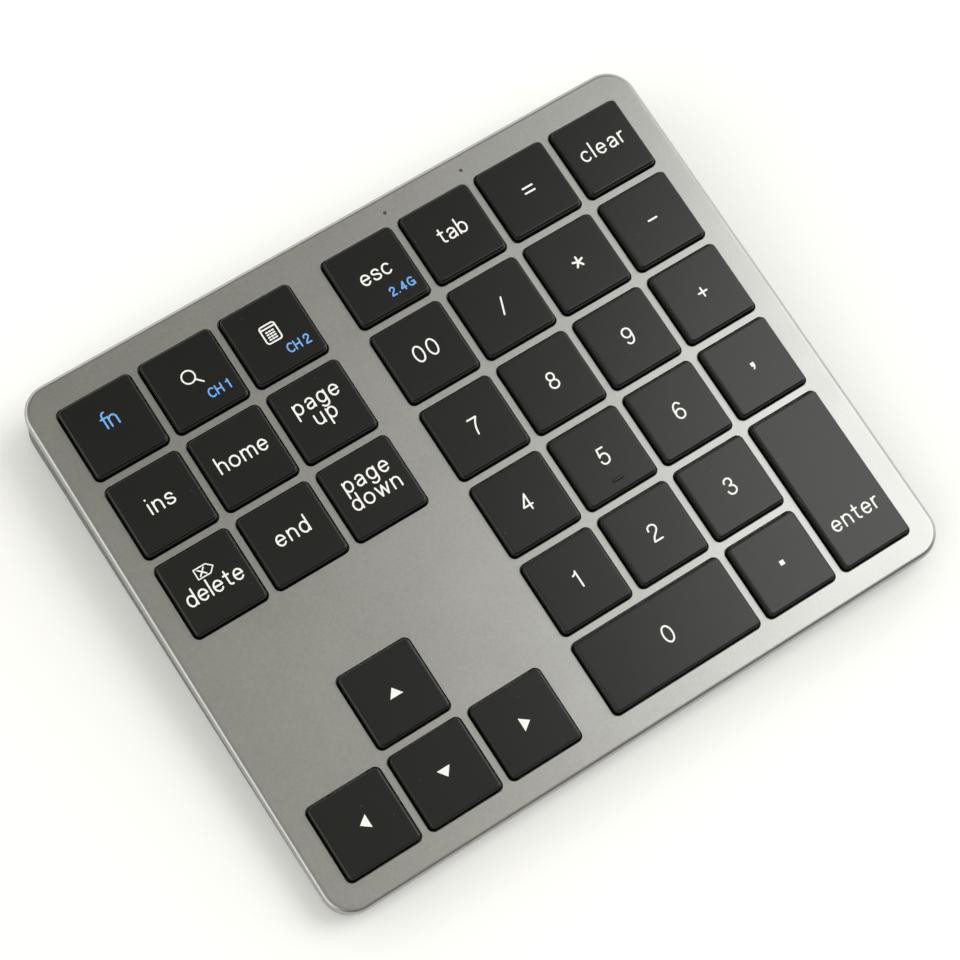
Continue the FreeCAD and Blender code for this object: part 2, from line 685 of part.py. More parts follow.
def extrusion_along(name, width, height, radius, x, depth, start, length):
    """A round-ended block that runs to the rear along the plate's y axis."""
    sketch = free_sketch(f"{name}_outline")
    rounded_rectangle(sketch, "outline", width, height, radius)
    block = document.addObject("Part::Extrusion", name)
    block.Base = sketch
    block.DirMode = "Custom"
    block.Dir = Vector(0, 0, -1)
    block.Solid = True
    bind(block, LengthFwd=length)
    seat(block, x, start, f"-({depth})")
    bind(block, Placement__Rotation__Angle="(dims.tilt + 90) * 1 deg")
    return block


def foot_outline(sketch, tag, side_x, side_y, clearance):
    """The long rounded outline of one foot, grown by a clearance."""
    rounded_rectangle(sketch, tag, f"dims.foot_length + 2 * {clearance}",
                      f"dims.foot_width + 2 * {clearance}",
                      f"dims.foot_width / 2 + {clearance} - 0.02",
                      f"{side_x} * dims.foot_x", f"{side_y} * dims.foot_y")


def rubber_feet():
    """Four glued-in pads: the surface that the keypad stands on."""
    body = new_body("rubber_feet")
    outline = new_sketch(body, "feet")
    for index, (side_x, side_y) in enumerate(FEET):
        foot_outline(outline, f"foot{index}", side_x, side_y, "0")
    block = pad(body, outline, "dims.foot_stand + dims.foot_recess")
    round_face(body, block, "0.3", "0")
    stand(body)


# ---------------------------------------------------------------- under the keys

def tab_blocks(name, clearance, top, bottom):
    """Blocks for the support plate's upright tabs, two to each key, grown by a clearance."""
    blocks = []
    for index, (x, y) in enumerate(key_middles()):
        for side, sign in (("left", -1), ("right", 1)):
            blocks.append(plate_box(f"{name}_{side}_{index}", f"dims.tab_width + 2 * {clearance}",
                                    f"dims.tab_length + 2 * {clearance}", top, bottom,
                                    f"{x} + {sign} * dims.tab_reach", f"{y} - dims.link_end"))
    return blocks


def loop_blocks(name, clearance, top, bottom):
    """Blocks for the taller tabs that the stabilizer wires' pins turn in."""
    blocks = []
    for index, (x, y, along) in enumerate(wire_tabs()):
        sizes = ["dims.loop_width", "dims.loop_length"]
        if along == "y":
            sizes.reverse()
        wide, deep = (f"{size} + 2 * {clearance}" for size in sizes)
        blocks.append(plate_box(f"{name}_{index}", wide, deep, top, bottom, x, y))
    return blocks


def wire_tabs():
    """Places of the tabs that the two stabilizer wires' pins turn in."""
    places = []
    for name, column, row, width, depth in KEYS:
        across = "dims.wire_half - dims.wire_pin + dims.loop_width"
        along = "dims.wire_arm * cos(dims.wire_angle * 1 deg) - dims.wire_bar"
        for sign in (-1, 1):
            if width > 1:
                places.append((f"{key_x(column, width)} + {sign} * ({across})",
                               f"{key_y(row, depth)} + {along}", "x"))
            if depth > 1:
                places.append((f"{key_x(column, width)} + {along}",
                               f"{key_y(row, depth)} + {sign} * ({across})", "y"))
    return places


def support_plate():
    """The steel plate that every key stands on, with its bent-up tabs."""
    body = blank_body("plate_blank")
    face = "-dims.film_top - 3 * dims.film"
    outline = new_sketch(body, "plate_outline", height=face)
    rounded_rectangle(outline, "plate", "dims.case_width - 2 * dims.film_margin + 0.8",
                      "dims.case_depth - 2 * dims.film_margin + 0.8", "4.4")
    pad(body, outline, "dims.steel", down=True)
    holes = new_sketch(body, "plate_holes", height=face)
    circles(holes, "screw", CASE_SCREWS + PLATE_SCREWS, "dims.screw_radius + 0.15")
    circles(holes, "light", INDICATORS, "dims.guide_radius + 0.2")
    rectangle(holes, "tail", "dims.tail_width + 3", "2.4", "dims.tail_x",
              "dims.tail_drop + 0.7")
    pocket(body, holes, "dims.steel")
    seat(body)
    root = "dims.film_top + 3 * dims.film + 0.1"
    upright = tab_blocks("tab", "0", "dims.film_top - dims.tab_height", root)
    loops = loop_blocks("loop", "0", "dims.wire_depth - dims.loop_height", root)
    pins = []
    for index, (x, y, along) in enumerate(wire_tabs()):
        pin = document.addObject("Part::Cylinder", f"loop_hole_{index}")
        bind(pin, Radius="dims.wire_radius + 0.05", Height="2")
        bore = document.addObject("Part::Compound", f"loop_bore_{index}")
        bore.Links = [pin]
        turn = Rotation(Vector(0, 1, 0), 90) if along == "x" else Rotation(Vector(1, 0, 0), -90)
        pin.Placement = Placement(Vector(-1, 0, 0) if along == "x" else Vector(0, -1, 0), turn)
        seat(bore, x, y, "-dims.wire_depth")
        pins.append(bore)
    plate = fuse("plate_with_tabs", [body] + upright + loops)
    keep(cut("plate_cut", plate, pins), "key_support_plate")


def film(label, layer, tab_space):
    """One of the three printed films between the domes and the support plate."""
    body = blank_body(f"{label}_blank")
    top = f"-dims.film_top - {layer} * dims.film"
    outline = new_sketch(body, "film_outline", height=top)
    rounded_rectangle(outline, "film", "dims.case_width - 2 * dims.film_margin",
                      "dims.case_depth - 2 * dims.film_margin", "4")
    pad(body, outline, "dims.film", down=True)
    openings = new_sketch(body, "film_openings", height=top)
    circles(openings, "screw", CASE_SCREWS + PLATE_SCREWS, "dims.screw_radius + 0.3")
    circles(openings, "light", INDICATORS, "dims.guide_radius + 0.2")
    pocket(body, openings, "dims.film")
    if layer == 2:
        drop = new_sketch(body, "tail_drop", height=f"{top} - dims.film / 2")
        rectangle(drop, "drop", "dims.tail_width", "2 * dims.film", "dims.tail_x",
                  "dims.tail_drop")
        fall = "dims.board_depth - dims.tail_level - dims.film_top"
        pad(body, drop, f"{fall} - {layer + 0.5} * dims.film", down=True)
        run = new_sketch(body, "tail_run", height="-dims.board_depth + dims.tail_level")
        rectangle(run, "run", "dims.tail_width", "dims.tail_run", "dims.tail_x",
                  "dims.tail_drop + dims.tail_run / 2 - dims.film")
        pad(body, run, "2 * dims.film")
    seat(body)
    keep(cut(f"{label}_cut", body, [tab_space]), label)


def films():
    """The upper film, the spacer and the lower film with its tail, all cleared for the tabs."""
    bottom = "dims.film_top + 3 * dims.film + 0.1"
    blocks = tab_blocks("tab_space", "0.15", "dims.film_top - 0.1", bottom)
    blocks += loop_blocks("loop_space", "0.15", "dims.film_top - 0.1", bottom)
    tab_space = compound("tab_spaces", blocks)
    for layer, label in enumerate(("membrane_top", "membrane_spacer", "membrane_bottom")):
        film(label, layer, tab_space)


def dome_group():
    """A rubber spring for each key, glued to the upper film."""
    body = new_body("rubber_domes")
    base = "-dims.film_top"
    feet = new_sketch(body, "dome_feet", height=base)
    circles(feet, "foot", key_middles(), "dims.dome_foot")
    pad(body, feet, "0.35")
    cones = new_sketch(body, "dome_cones", height=f"{base} + 0.35")
    circles(cones, "cone", key_middles(), "dims.dome_foot - 0.3")
    lean = "-atan((dims.dome_foot - 0.3 - dims.dome_top) / (dims.dome_height - 0.4))"
    pad(body, cones, "dims.dome_height - 0.4", lean=lean)
    hollows = new_sketch(body, "dome_hollows", height=base)
    circles(hollows, "hollow", key_middles(), "dims.dome_top - dims.dome_skin")
    pocket(body, hollows, "dims.dome_height - 1.2", up=True)
    seat(body)


def link_frame(half_width, window, sign, half_length):
    """A flat scissor link about its pivot, leaning by the link angle."""
    stock = number("dims.link_stock")
    block = Part.makeBox(2 * half_width, 2 * half_length, stock,
                         Vector(-half_width, -half_length, -stock / 2))
    space = Part.makeBox(2 * window, 2 * half_length - 2.2, 2 * stock,
                         Vector(-window, 1.1 - half_length, -stock))
    frame = block.cut(space)
    lean = Rotation(Vector(1, 0, 0), sign * number("dims.link_angle"))
    return frame, lean


def scissor_links():
    """The crossed pair of links under each key, an outer ring and an inner ring pinned to it."""
    half_length = number("dims.link_half")
    outer_half, inner_half = number("dims.outer_link"), number("dims.inner_link")
    pin, hole = number("dims.link_pin"), number("dims.link_hole")
    outer, outer_lean = link_frame(outer_half, inner_half + 0.12, 1, half_length)
    bore = Part.makeCylinder(hole, 2 * outer_half + 2, Vector(-outer_half - 1, 0, 0),
                             Vector(1, 0, 0))
    outer = outer.cut(bore)
    inner, inner_lean = link_frame(inner_half, inner_half - 1.0, -1, half_length)
    for side in (-1, 1):
        start = Vector(side * (inner_half - 0.4), 0, 0)
        inner = inner.fuse(Part.makeCylinder(pin, 1.2, start, Vector(side, 0, 0)))
    outer.Placement = Placement(Vector(), outer_lean)
    inner.Placement = Placement(Vector(), inner_lean)
    depth = number("dims.link_middle")
    places = [Vector(number(x), number(y), -depth) for x, y in key_middles()]
    group("scissor_outer_links", [outer.translated(place) for place in places])
    group("scissor_inner_links", [inner.translated(place) for place in places])


def stabilizer_wire(label, x, y, turn):
    """A bent wire that keeps a long cap level: a bar, two arms and two turned-in pins."""
    half, arm, pin = (number(f"dims.{name}") for name in ("wire_half", "wire_arm", "wire_pin"))
    thick = number("dims.wire_radius")
    lean = math.radians(number("dims.wire_angle"))
    rear = Vector(0, number("dims.wire_arm * cos(dims.wire_angle * 1 deg) - dims.wire_bar"),
                  -number("dims.wire_depth"))
    bar = rear + Vector(0, -arm * math.cos(lean), arm * math.sin(lean))
    corners = [rear + Vector(pin - half, 0, 0), rear + Vector(-half, 0, 0),
               bar + Vector(-half, 0, 0), bar + Vector(half, 0, 0), rear + Vector(half, 0, 0),
               rear + Vector(half - pin, 0, 0)]
    wire = tube(rounded_path(corners, number("dims.wire_bend")), thick)
    item = group(label, [wire.rotated(Vector(), Vector(0, 0, 1), turn)])
    seat(item, x, y)


def rounded_path(corners, bend):
    """Straight runs joined by tangent arcs."""
    edges = []
    start = corners[0]
    for before, corner, after in zip(corners, corners[1:], corners[2:]):
        inward = (before - corner).normalize()
        outward = (after - corner).normalize()
        half_turn = inward.getAngle(outward) / 2
        reach = bend / math.tan(half_turn)
        first, last = corner + inward * reach, corner + outward * reach
        bisector = (inward + outward).normalize()
        middle = corner + bisector * (bend / math.sin(half_turn) - bend)
        edges.append(Part.LineSegment(start, first).toShape())
        edges.append(Part.Arc(first, middle, last).toShape())
        start = last
    edges.append(Part.LineSegment(start, corners[-1]).toShape())
    return Part.Wire(edges)


def tube(path, radius):
    """A round solid along a path of straight runs and arcs."""
    first = path.Edges[0]
    direction = first.tangentAt(first.FirstParameter)
    ring = Part.Wire([Part.Circle(path.Vertexes[0].Point, direction, radius).toShape()])
    solid = path.makePipeShell([ring], True, True)
    expected = math.pi * radius ** 2 * path.Length
    if abs(solid.Volume / expected - 1) > 0.02:
        raise RuntimeError("a tube's volume doesn't match its length")
    return solid


# ---------------------------------------------------------------- screws

def screws(label, places, seat_depth, tip_depth):
    """Small pan-head screws with a cross recess, all driven from below."""
    body = new_body(label)
    heads = new_sketch(body, "heads", height=f"-({seat_depth})")
    circles(heads, "head", places, "dims.head_radius")
    head_pads = pad(body, heads, "dims.head_height", down=True)
    round_face(body, head_pads, "0.2", f"-({seat_depth}) - dims.head_height")
    shafts = new_sketch(body, "shafts", height=f"-({seat_depth})")
    circles(shafts, "shaft", places, "dims.screw_radius")
    pad(body, shafts, f"({seat_depth}) - ({tip_depth})")
    arm = ("dims.recess_length", "dims.recess_width")
    for tag, sizes in (("across", arm), ("along", arm[::-1])):
        recess = new_sketch(body, tag, height=f"-({seat_depth}) - dims.head_height")
        for index, (x, y) in enumerate(places):
            rectangle(recess, f"{tag}{index}", *sizes, x, y)
        pocket(body, recess, "dims.recess_width", up=True)
    seat(body)


# ---------------------------------------------------------------- the electronics

def main_board():
    body = new_body("main_board")
    outline = new_sketch(body, "board_outline", height="-dims.board_depth")
    rounded_rectangle(outline, "board", "dims.board_right - dims.board_left",
                      "dims.board_rear - dims.board_front", "1",
                      "(dims.board_left + dims.board_right) / 2",
                      "(dims.board_front + dims.board_rear) / 2")
    pad(body, outline, "dims.board", down=True)
    holes = new_sketch(body, "board_holes", height="-dims.board_depth")
    circles(holes, "post", BOARD_POSTS, "dims.board_hole")
    pocket(body, holes, "dims.board")
    seat(body)


def radio_shield():
    """A pressed can over the radio."""
    body = new_body("radio_shield")
    outline = new_sketch(body, "can", height="-dims.board_depth")
    rounded_rectangle(outline, "can", "dims.shield_width", "dims.shield_depth", "0.8",
                      "dims.shield_x", "dims.shield_y")
    block = pad(body, outline, "dims.shield_height")
    round_face(body, block, "dims.shield_skin", "-dims.board_depth + dims.shield_height")
    inside = new_sketch(body, "can_inside", height="-dims.board_depth")
    rounded_rectangle(inside, "inside", "dims.shield_width - 2 * dims.shield_skin",
                      "dims.shield_depth - 2 * dims.shield_skin", "0.8 - dims.shield_skin",
                      "dims.shield_x", "dims.shield_y")
    pocket(body, inside, "dims.shield_height - dims.shield_skin", up=True)
    seat(body)


def membrane_connector():
    """The connector that the films' tail is clamped in."""
    body = new_body("membrane_connector")
    outline = new_sketch(body, "housing", height="-dims.board_depth")
    rectangle(outline, "housing", "dims.connector_width", "dims.connector_depth",
              "dims.tail_x", "dims.connector_y")
    pad(body, outline, "dims.connector_height")
    mouth = new_sketch(body, "mouth", height="-dims.board_depth + dims.tail_level + 4 * dims.film")
    rectangle(mouth, "mouth", "dims.tail_width + 0.6", "dims.connector_depth - 1.8",
              "dims.tail_x", "dims.connector_y - 1")
    pocket(body, mouth, "6 * dims.film")
    seat(body)


def battery_cell():
    """A flat rechargeable cell that lies on the floor of the case."""
    body = new_body("battery_cell")
    outline = new_sketch(body, "cell")
    rounded_rectangle(outline, "cell", "dims.cell_width", "dims.cell_length", "2")
    block = pad(body, outline, "dims.cell_height")
    round_face(body, block, "1.2", "dims.cell_height")
    stand(body, "dims.cell_x", "dims.cell_y", "dims.foot_stand + dims.case_floor + 0.2")


def battery_leads():
    """Two insulated leads from the cell to the board."""
    bend, thick = number("dims.lead_bend"), number("dims.lead_radius")
    routes = [[Vector(x, y, -LEAD_DEPTH) for x, y in ends] for ends in LEAD_ENDS]
    group("battery_leads", [tube(rounded_path(route, bend), thick) for route in routes])


def charge_socket():
    """The steel shell of the charging socket."""
    body = new_body("charge_socket")
    outline = new_sketch(body, "shell", "XZ_Plane")
    half = "dims.socket_height / 2 - 0.02"
    rounded_rectangle(outline, "shell", "dims.socket_width", "dims.socket_height", half)
    pad(body, outline, "dims.socket_length")
    bore = new_sketch(body, "bore", "XZ_Plane")
    rounded_rectangle(bore, "bore", "dims.socket_width - 2 * dims.socket_skin",
                      "dims.socket_height - 2 * dims.socket_skin", f"{half} - dims.socket_skin")
    pocket(body, bore, "dims.socket_length - 1.0", up=True)
    seat(body, "dims.socket_x", "dims.case_depth / 2 - dims.socket_inset",
         f"-({socket_depth()})")


def socket_tongue():
    """The insulated tongue with the contacts, inside the socket's shell."""
    body = new_body("socket_tongue")
    outline = new_sketch(body, "tongue", "XZ_Plane", "dims.tongue_inset")
    rectangle(outline, "tongue", "dims.tongue_width", "dims.tongue_height")
    pad(body, outline, "dims.socket_length - dims.tongue_inset - 1.0")
    block = new_sketch(body, "block", "XZ_Plane", "dims.socket_length - 2.6")
    rounded_rectangle(block, "block", "dims.socket_width - 2 * dims.socket_skin - 0.2",
                      "dims.socket_height - 2 * dims.socket_skin - 0.2", "1.18")
    pad(body, block, "1.6")
    seat(body, "dims.socket_x", "dims.case_depth / 2 - dims.socket_inset",
         f"-({socket_depth()})")


def switch_body():
    """The housing of the power switch, open to the rear for its slider."""
    body = new_body("switch_body")
    outline = new_sketch(body, "housing", height="-dims.board_depth")
    rectangle(outline, "housing", "dims.switch_width", "dims.switch_depth", "dims.switch_x",
              "dims.switch_y")
    pad(body, outline, "dims.switch_height")
    channel = new_sketch(body, "channel", height="-dims.board_depth + 0.8")
    rectangle(channel, "channel", "dims.switch_width - 1.6", "dims.switch_depth - 1",
              "dims.switch_x", "dims.switch_y + 0.6")
    pocket(body, channel, "dims.slider_height + 0.2", up=True)
    seat(body)


def switch_slider():
    """The slider: a block in the housing and the knob that a fingernail moves."""
    body = new_body("switch_slider")
    parked = "dims.switch_x - dims.switch_travel / 2"
    block = new_sketch(body, "slider", height="-dims.board_depth + 0.9")
    rectangle(block, "slider", "dims.slider_width", "dims.slider_depth", parked, "dims.slider_y")
    pad(body, block, "dims.slider_height")
    knob = new_sketch(body, "knob", height="-dims.board_depth + 1.0")
    rectangle(knob, "knob", "dims.knob_width", "dims.knob_depth", parked, "dims.knob_y")
    pad(body, knob, "dims.knob_height")
    seat(body)


def indicators():
    """The two indicator lamps on the board, and the clear guides that carry their light up."""
    lamps = new_body("indicator_leds")
    outline = new_sketch(lamps, "lamps", height="-dims.board_depth")
    for index, (x, y) in enumerate(INDICATORS):
        rectangle(outline, f"lamp{index}", "1.6", "0.8", x, y)
    pad(lamps, outline, "0.6")
    seat(lamps)
    guides = new_body("light_guides")
    shafts = new_sketch(guides, "shafts", height="-dims.board_depth + 0.7")
    circles(shafts, "shaft", INDICATORS, "dims.guide_radius")
    pad(guides, shafts, "dims.board_depth - 0.7 - dims.cover_skin - 0.05")
    tips = new_sketch(guides, "tips", height="-dims.cover_skin - 0.05")
    circles(tips, "tip", INDICATORS, "dims.indicator_radius - 0.03")
    pad(guides, tips, "dims.cover_skin")
    seat(guides)


# ---------------------------------------------------------------- the whole keypad

def build():
    for key in KEYS:
        keycap(*key)
    top_cover()
    bottom_case()
    rubber_feet()
    support_plate()
    films()
    dome_group()
    scissor_links()
    for name, column, row, width, depth in KEYS:
        if width > 1:
            stabilizer_wire("zero_wire", key_x(column, width), key_y(row, depth), 0)
        if depth > 1:
            stabilizer_wire("enter_wire", key_x(column, width), key_y(row, depth), -90)
    steel_under = "dims.film_top + 3 * dims.film + dims.steel"
    screws("case_screws", CASE_SCREWS, "dims.case_seat", "dims.case_seat - dims.screw_length")
    screws("plate_screws", PLATE_SCREWS, steel_under, f"{steel_under} - dims.plate_tip")
    main_board()
    radio_shield()
    membrane_connector()
    battery_cell()
    battery_leads()
    charge_socket()
    socket_tongue()
    switch_body()
    switch_slider()
    indicators()


def check_and_export():
    """Stops at a failed object or a bad shape, and writes one file for each sub-part."""
    document.recompute()
    failed = [item.Name for item in document.Objects
              if any(state in ("Invalid", "Error") for state in item.State)]
    if failed:
        raise RuntimeError(f"failed objects: {failed}")
    os.makedirs("parts", exist_ok=True)
    for item in sub_parts:
        shape = item.Shape
        if shape.isNull() or not shape.isValid() or not shape.Solids:
            raise RuntimeError(f"{item.Label} has no valid solid")
        shape.exportStep(f"parts/{item.Label}.step")
    print(len(sub_parts), "sub-parts written")


build()
check_and_export()
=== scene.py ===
"""Looks of the wireless numeric keypad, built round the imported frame.

Scene lengths are metres, in the row frame. Legends are drawn in millimetres on the face of
their keycap: x to the user's right, y to the rear, from the middle of the cap.
"""
import json
import math
import bpy
from mathutils import Matrix, Vector


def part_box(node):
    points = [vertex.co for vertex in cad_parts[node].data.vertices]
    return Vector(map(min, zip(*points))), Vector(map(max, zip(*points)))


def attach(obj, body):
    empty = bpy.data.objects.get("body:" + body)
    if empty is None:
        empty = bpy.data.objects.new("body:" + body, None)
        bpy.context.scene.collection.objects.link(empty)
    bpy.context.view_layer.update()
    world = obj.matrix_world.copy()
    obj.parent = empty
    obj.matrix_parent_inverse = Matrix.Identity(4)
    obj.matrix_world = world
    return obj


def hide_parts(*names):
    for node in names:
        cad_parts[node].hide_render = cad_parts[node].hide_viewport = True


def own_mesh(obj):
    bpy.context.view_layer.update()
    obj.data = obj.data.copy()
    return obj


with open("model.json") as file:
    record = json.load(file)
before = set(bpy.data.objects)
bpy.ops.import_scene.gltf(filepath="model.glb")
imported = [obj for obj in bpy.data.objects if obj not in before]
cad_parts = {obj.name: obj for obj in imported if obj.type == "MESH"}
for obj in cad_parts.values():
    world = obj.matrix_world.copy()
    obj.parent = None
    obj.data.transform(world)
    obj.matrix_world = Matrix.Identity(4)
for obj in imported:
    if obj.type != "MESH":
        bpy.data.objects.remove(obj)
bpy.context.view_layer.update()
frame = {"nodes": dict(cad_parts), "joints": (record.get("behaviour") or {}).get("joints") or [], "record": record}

MM = 0.001
JOINTS = {joint["child"]: joint for joint in frame["joints"]}
KEYS = [name for name in frame["nodes"] if name.startswith("key_") and name in JOINTS]
RIGHT = Vector((1, 0, 0))
NORMAL = -Vector(JOINTS[KEYS[0]]["axis"]).normalized()      # of the tilted plate
REAR = NORMAL.cross(RIGHT)


# ---------------------------------------------------------------- places on the tilted plate

def spans(points):
    """The lowest and highest reach of some points to the right, to the rear and upwards."""
    reaches = []
    for direction in (RIGHT, REAR, NORMAL):
        along = [direction.dot(point) for point in points]
        reaches.append((min(along), max(along)))
    return reaches


def node_spans(name):
    return spans([vertex.co for vertex in frame["nodes"][name].data.vertices])


def place(across, back, up):
    """A point of the row frame from its three plate lengths."""
    return RIGHT * across + REAR * back + NORMAL * up


KEY_SPANS = {name: node_spans(name) for name in KEYS}
CAP_TOP = KEY_SPANS["key_fn"][2][1]


def cap_middle(name):
    across, back = (sum(reach) / 2 for reach in KEY_SPANS[name][:2])
    return place(across, back, CAP_TOP)


# ---------------------------------------------------------------- materials

class Finish:
    """A procedural material under construction: nodes are added and linked by name."""

    def __init__(self, name):
        self.material = bpy.data.materials.new(name)
        self.material.use_nodes = True
        self.tree = self.material.node_tree
        self.shader = self.tree.nodes["Principled BSDF"]
        self.where = self.add("ShaderNodeTexCoord").outputs["Object"]

    def add(self, kind, **settings):
        node = self.tree.nodes.new(kind)
        for key, value in settings.items():
            setattr(node, key, value)
        return node

    def link(self, source, target):
        self.tree.links.new(source, target)

    def noise(self, size, detail=2.0, stretch=(1, 1, 1)):
        """Noise with features about that size, in metres."""
        mapping = self.add("ShaderNodeMapping")
        mapping.inputs["Scale"].default_value = stretch
        self.link(self.where, mapping.inputs["Vector"])
        node = self.add("ShaderNodeTexNoise")
        node.inputs["Scale"].default_value = 1 / size
        node.inputs["Detail"].default_value = detail
        self.link(mapping.outputs["Vector"], node.inputs["Vector"])
        return node.outputs["Fac"]

    def span(self, value, low, high, start=0.3, end=0.7):
        node = self.add("ShaderNodeMapRange")
        node.inputs["From Min"].default_value = start
        node.inputs["From Max"].default_value = end
        node.inputs["To Min"].default_value = low
        node.inputs["To Max"].default_value = high
        self.link(value, node.inputs["Value"])
        return node.outputs["Result"]

    def ramp(self, value, stops):
        node = self.add("ShaderNodeValToRGB")
        while len(node.color_ramp.elements) < len(stops):
            node.color_ramp.elements.new(0.5)
        for element, (position, colour) in zip(node.color_ramp.elements, stops):
            element.position = position
            element.color = (*colour, 1)
        self.link(value, node.inputs["Fac"])
        return node.outputs["Color"]

    def mix(self, share, first, second):
        node = self.add("ShaderNodeMix", data_type="RGBA")
        self.link(share, node.inputs["Factor"])
        for socket, source in (("A", first), ("B", second)):
            target = [i for i in node.inputs if i.name == socket and i.type == "RGBA"][0]
            if isinstance(source, tuple):
                target.default_value = (*source, 1)
            else:
                self.link(source, target)
        return [o for o in node.outputs if o.type == "RGBA"][0]

    def math(self, operation, first, second):
        node = self.add("ShaderNodeMath", operation=operation)
        for index, source in enumerate((first, second)):
            if isinstance(source, (int, float)):
                node.inputs[index].default_value = source
            else:
                self.link(source, node.inputs[index])
        return node.outputs["Value"]

    def specks(self, cell, radius, chance):
        """A mask of small round specks, one or none in each cell of that size in metres."""
        node = self.add("ShaderNodeTexVoronoi")
        node.inputs["Scale"].default_value = 1 / cell
        self.link(self.where, node.inputs["Vector"])
        near = self.math("LESS_THAN", node.outputs["Distance"], radius / cell)
        picker = self.add("ShaderNodeSeparateColor")
        self.link(node.outputs["Color"], picker.inputs["Color"])
        picked = self.math("LESS_THAN", picker.outputs["Red"], chance)
        return self.math("MULTIPLY", near, picked)

    def bump(self, height, depth, strength=1.0):
        node = self.add("ShaderNodeBump")
        node.inputs["Distance"].default_value = depth
        node.inputs["Strength"].default_value = strength
        self.link(height, node.inputs["Height"])
        self.link(node.outputs["Normal"], self.shader.inputs["Normal"])

    def set(self, **values):
        for key, value in values.items():
            self.shader.inputs[key.replace("_", " ")].default_value = value
        return self


def shades(colour, spread):
    """A darker and a lighter shade of a colour, as ramp stops."""
    return [(0.3, tuple(c * (1 - spread) for c in colour)),
            (0.7, tuple(min(1.0, c * (1 + spread)) for c in colour))]


def grained(name, colour, spread, grain, roughness, depth, drift=0.02, **values):
    """A surface with a fine grain, a slow drift of shade and uneven gloss."""
    made = Finish(name)
    fine = made.noise(grain)
    broad = made.noise(drift, 3.0)
    both = made.math("ADD", made.math("MULTIPLY", fine, 0.6), made.math("MULTIPLY", broad, 0.4))
    made.link(made.ramp(both, shades(colour, spread)), made.shader.inputs["Base Color"])
    made.link(made.span(broad, *roughness), made.shader.inputs["Roughness"])
    made.bump(fine, depth)
    return made.set(**values)


def aluminium():
    """Grey anodised aluminium, bead-blasted: a fine satin grain with faint cloudiness."""
    made = Finish("anodised_aluminium")
    grain = made.noise(0.00022)
    mottle = made.noise(0.0007)
    cloud = made.noise(0.012, 4.0)
    shade = made.math("ADD", made.math("MULTIPLY", mottle, 0.55),
                      made.math("MULTIPLY", cloud, 0.45))
    made.link(made.ramp(shade, shades((0.345, 0.345, 0.34), 0.07)),
              made.shader.inputs["Base Color"])
    made.link(made.span(mottle, 0.28, 0.31), made.shader.inputs["Roughness"])
    made.bump(grain, 0.000002, 0.7)
    return made.set(Metallic=1.0)


def keycap():
    """Black moulded plastic with a matte top and a little dust."""
    made = Finish("keycap_plastic")
    grain = made.noise(0.00016, 3.0)
    cloud = made.noise(0.009, 3.0)
    base = made.ramp(cloud, [(0.3, (0.0010, 0.0010, 0.0010)), (0.7, (0.0020, 0.0020, 0.0020))])
    dust = made.specks(0.0026, 0.00008, 0.45)
    made.link(made.mix(dust, base, (0.12, 0.12, 0.115)), made.shader.inputs["Base Color"])
    made.link(made.span(grain, 0.18, 0.26), made.shader.inputs["Roughness"])
    made.bump(grain, 0.000002, 0.6)
    return made.set(Specular_IOR_Level=0.40)


def board():
    """Green solder mask over copper, with the woven glass just showing through."""
    made = Finish("circuit_board")
    weave = made.add("ShaderNodeTexChecker")
    weave.inputs["Scale"].default_value = 2200
    made.link(made.where, weave.inputs["Vector"])
    copper = made.span(made.noise(0.0035, 1.0, (1, 4, 1)), 0.0, 1.0, 0.48, 0.52)
    mask = made.mix(copper, (0.012, 0.09, 0.045), (0.02, 0.15, 0.06))
    made.link(mask, made.shader.inputs["Base Color"])
    made.link(made.span(made.noise(0.006), 0.25, 0.38), made.shader.inputs["Roughness"])
    made.bump(made.math("ADD", weave.outputs["Fac"], copper), 0.00002, 0.6)
    return made.set(Coat_Weight=0.3, Coat_Roughness=0.15)


def leads():
    """Insulation of the battery's two leads, one red and one black, side by side."""
    made = Finish("lead_insulation")
    low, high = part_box("battery_leads")
    parts = made.add("ShaderNodeSeparateXYZ")
    made.link(made.where, parts.inputs["Vector"])
    right = made.math("GREATER_THAN", parts.outputs["Y"], (low.y + high.y) / 2)
    grain = made.noise(0.0006)
    red = made.ramp(grain, shades((0.45, 0.02, 0.015), 0.15))
    black = made.ramp(grain, shades((0.02, 0.02, 0.02), 0.2))
    made.link(made.mix(right, black, red), made.shader.inputs["Base Color"])
    made.link(made.span(grain, 0.35, 0.5), made.shader.inputs["Roughness"])
    made.bump(grain, 0.00002)
    return made


def legend_ink(name, colour):
    """Matte ink, printed thickly enough to be felt."""
    made = Finish(name)
    grain = made.noise(0.00012)
    made.link(made.ramp(grain, shades(colour, 0.05)), made.shader.inputs["Base Color"])
    made.link(made.span(grain, 0.45, 0.6), made.shader.inputs["Roughness"])
    made.bump(grain, 0.000004)
    return made.material


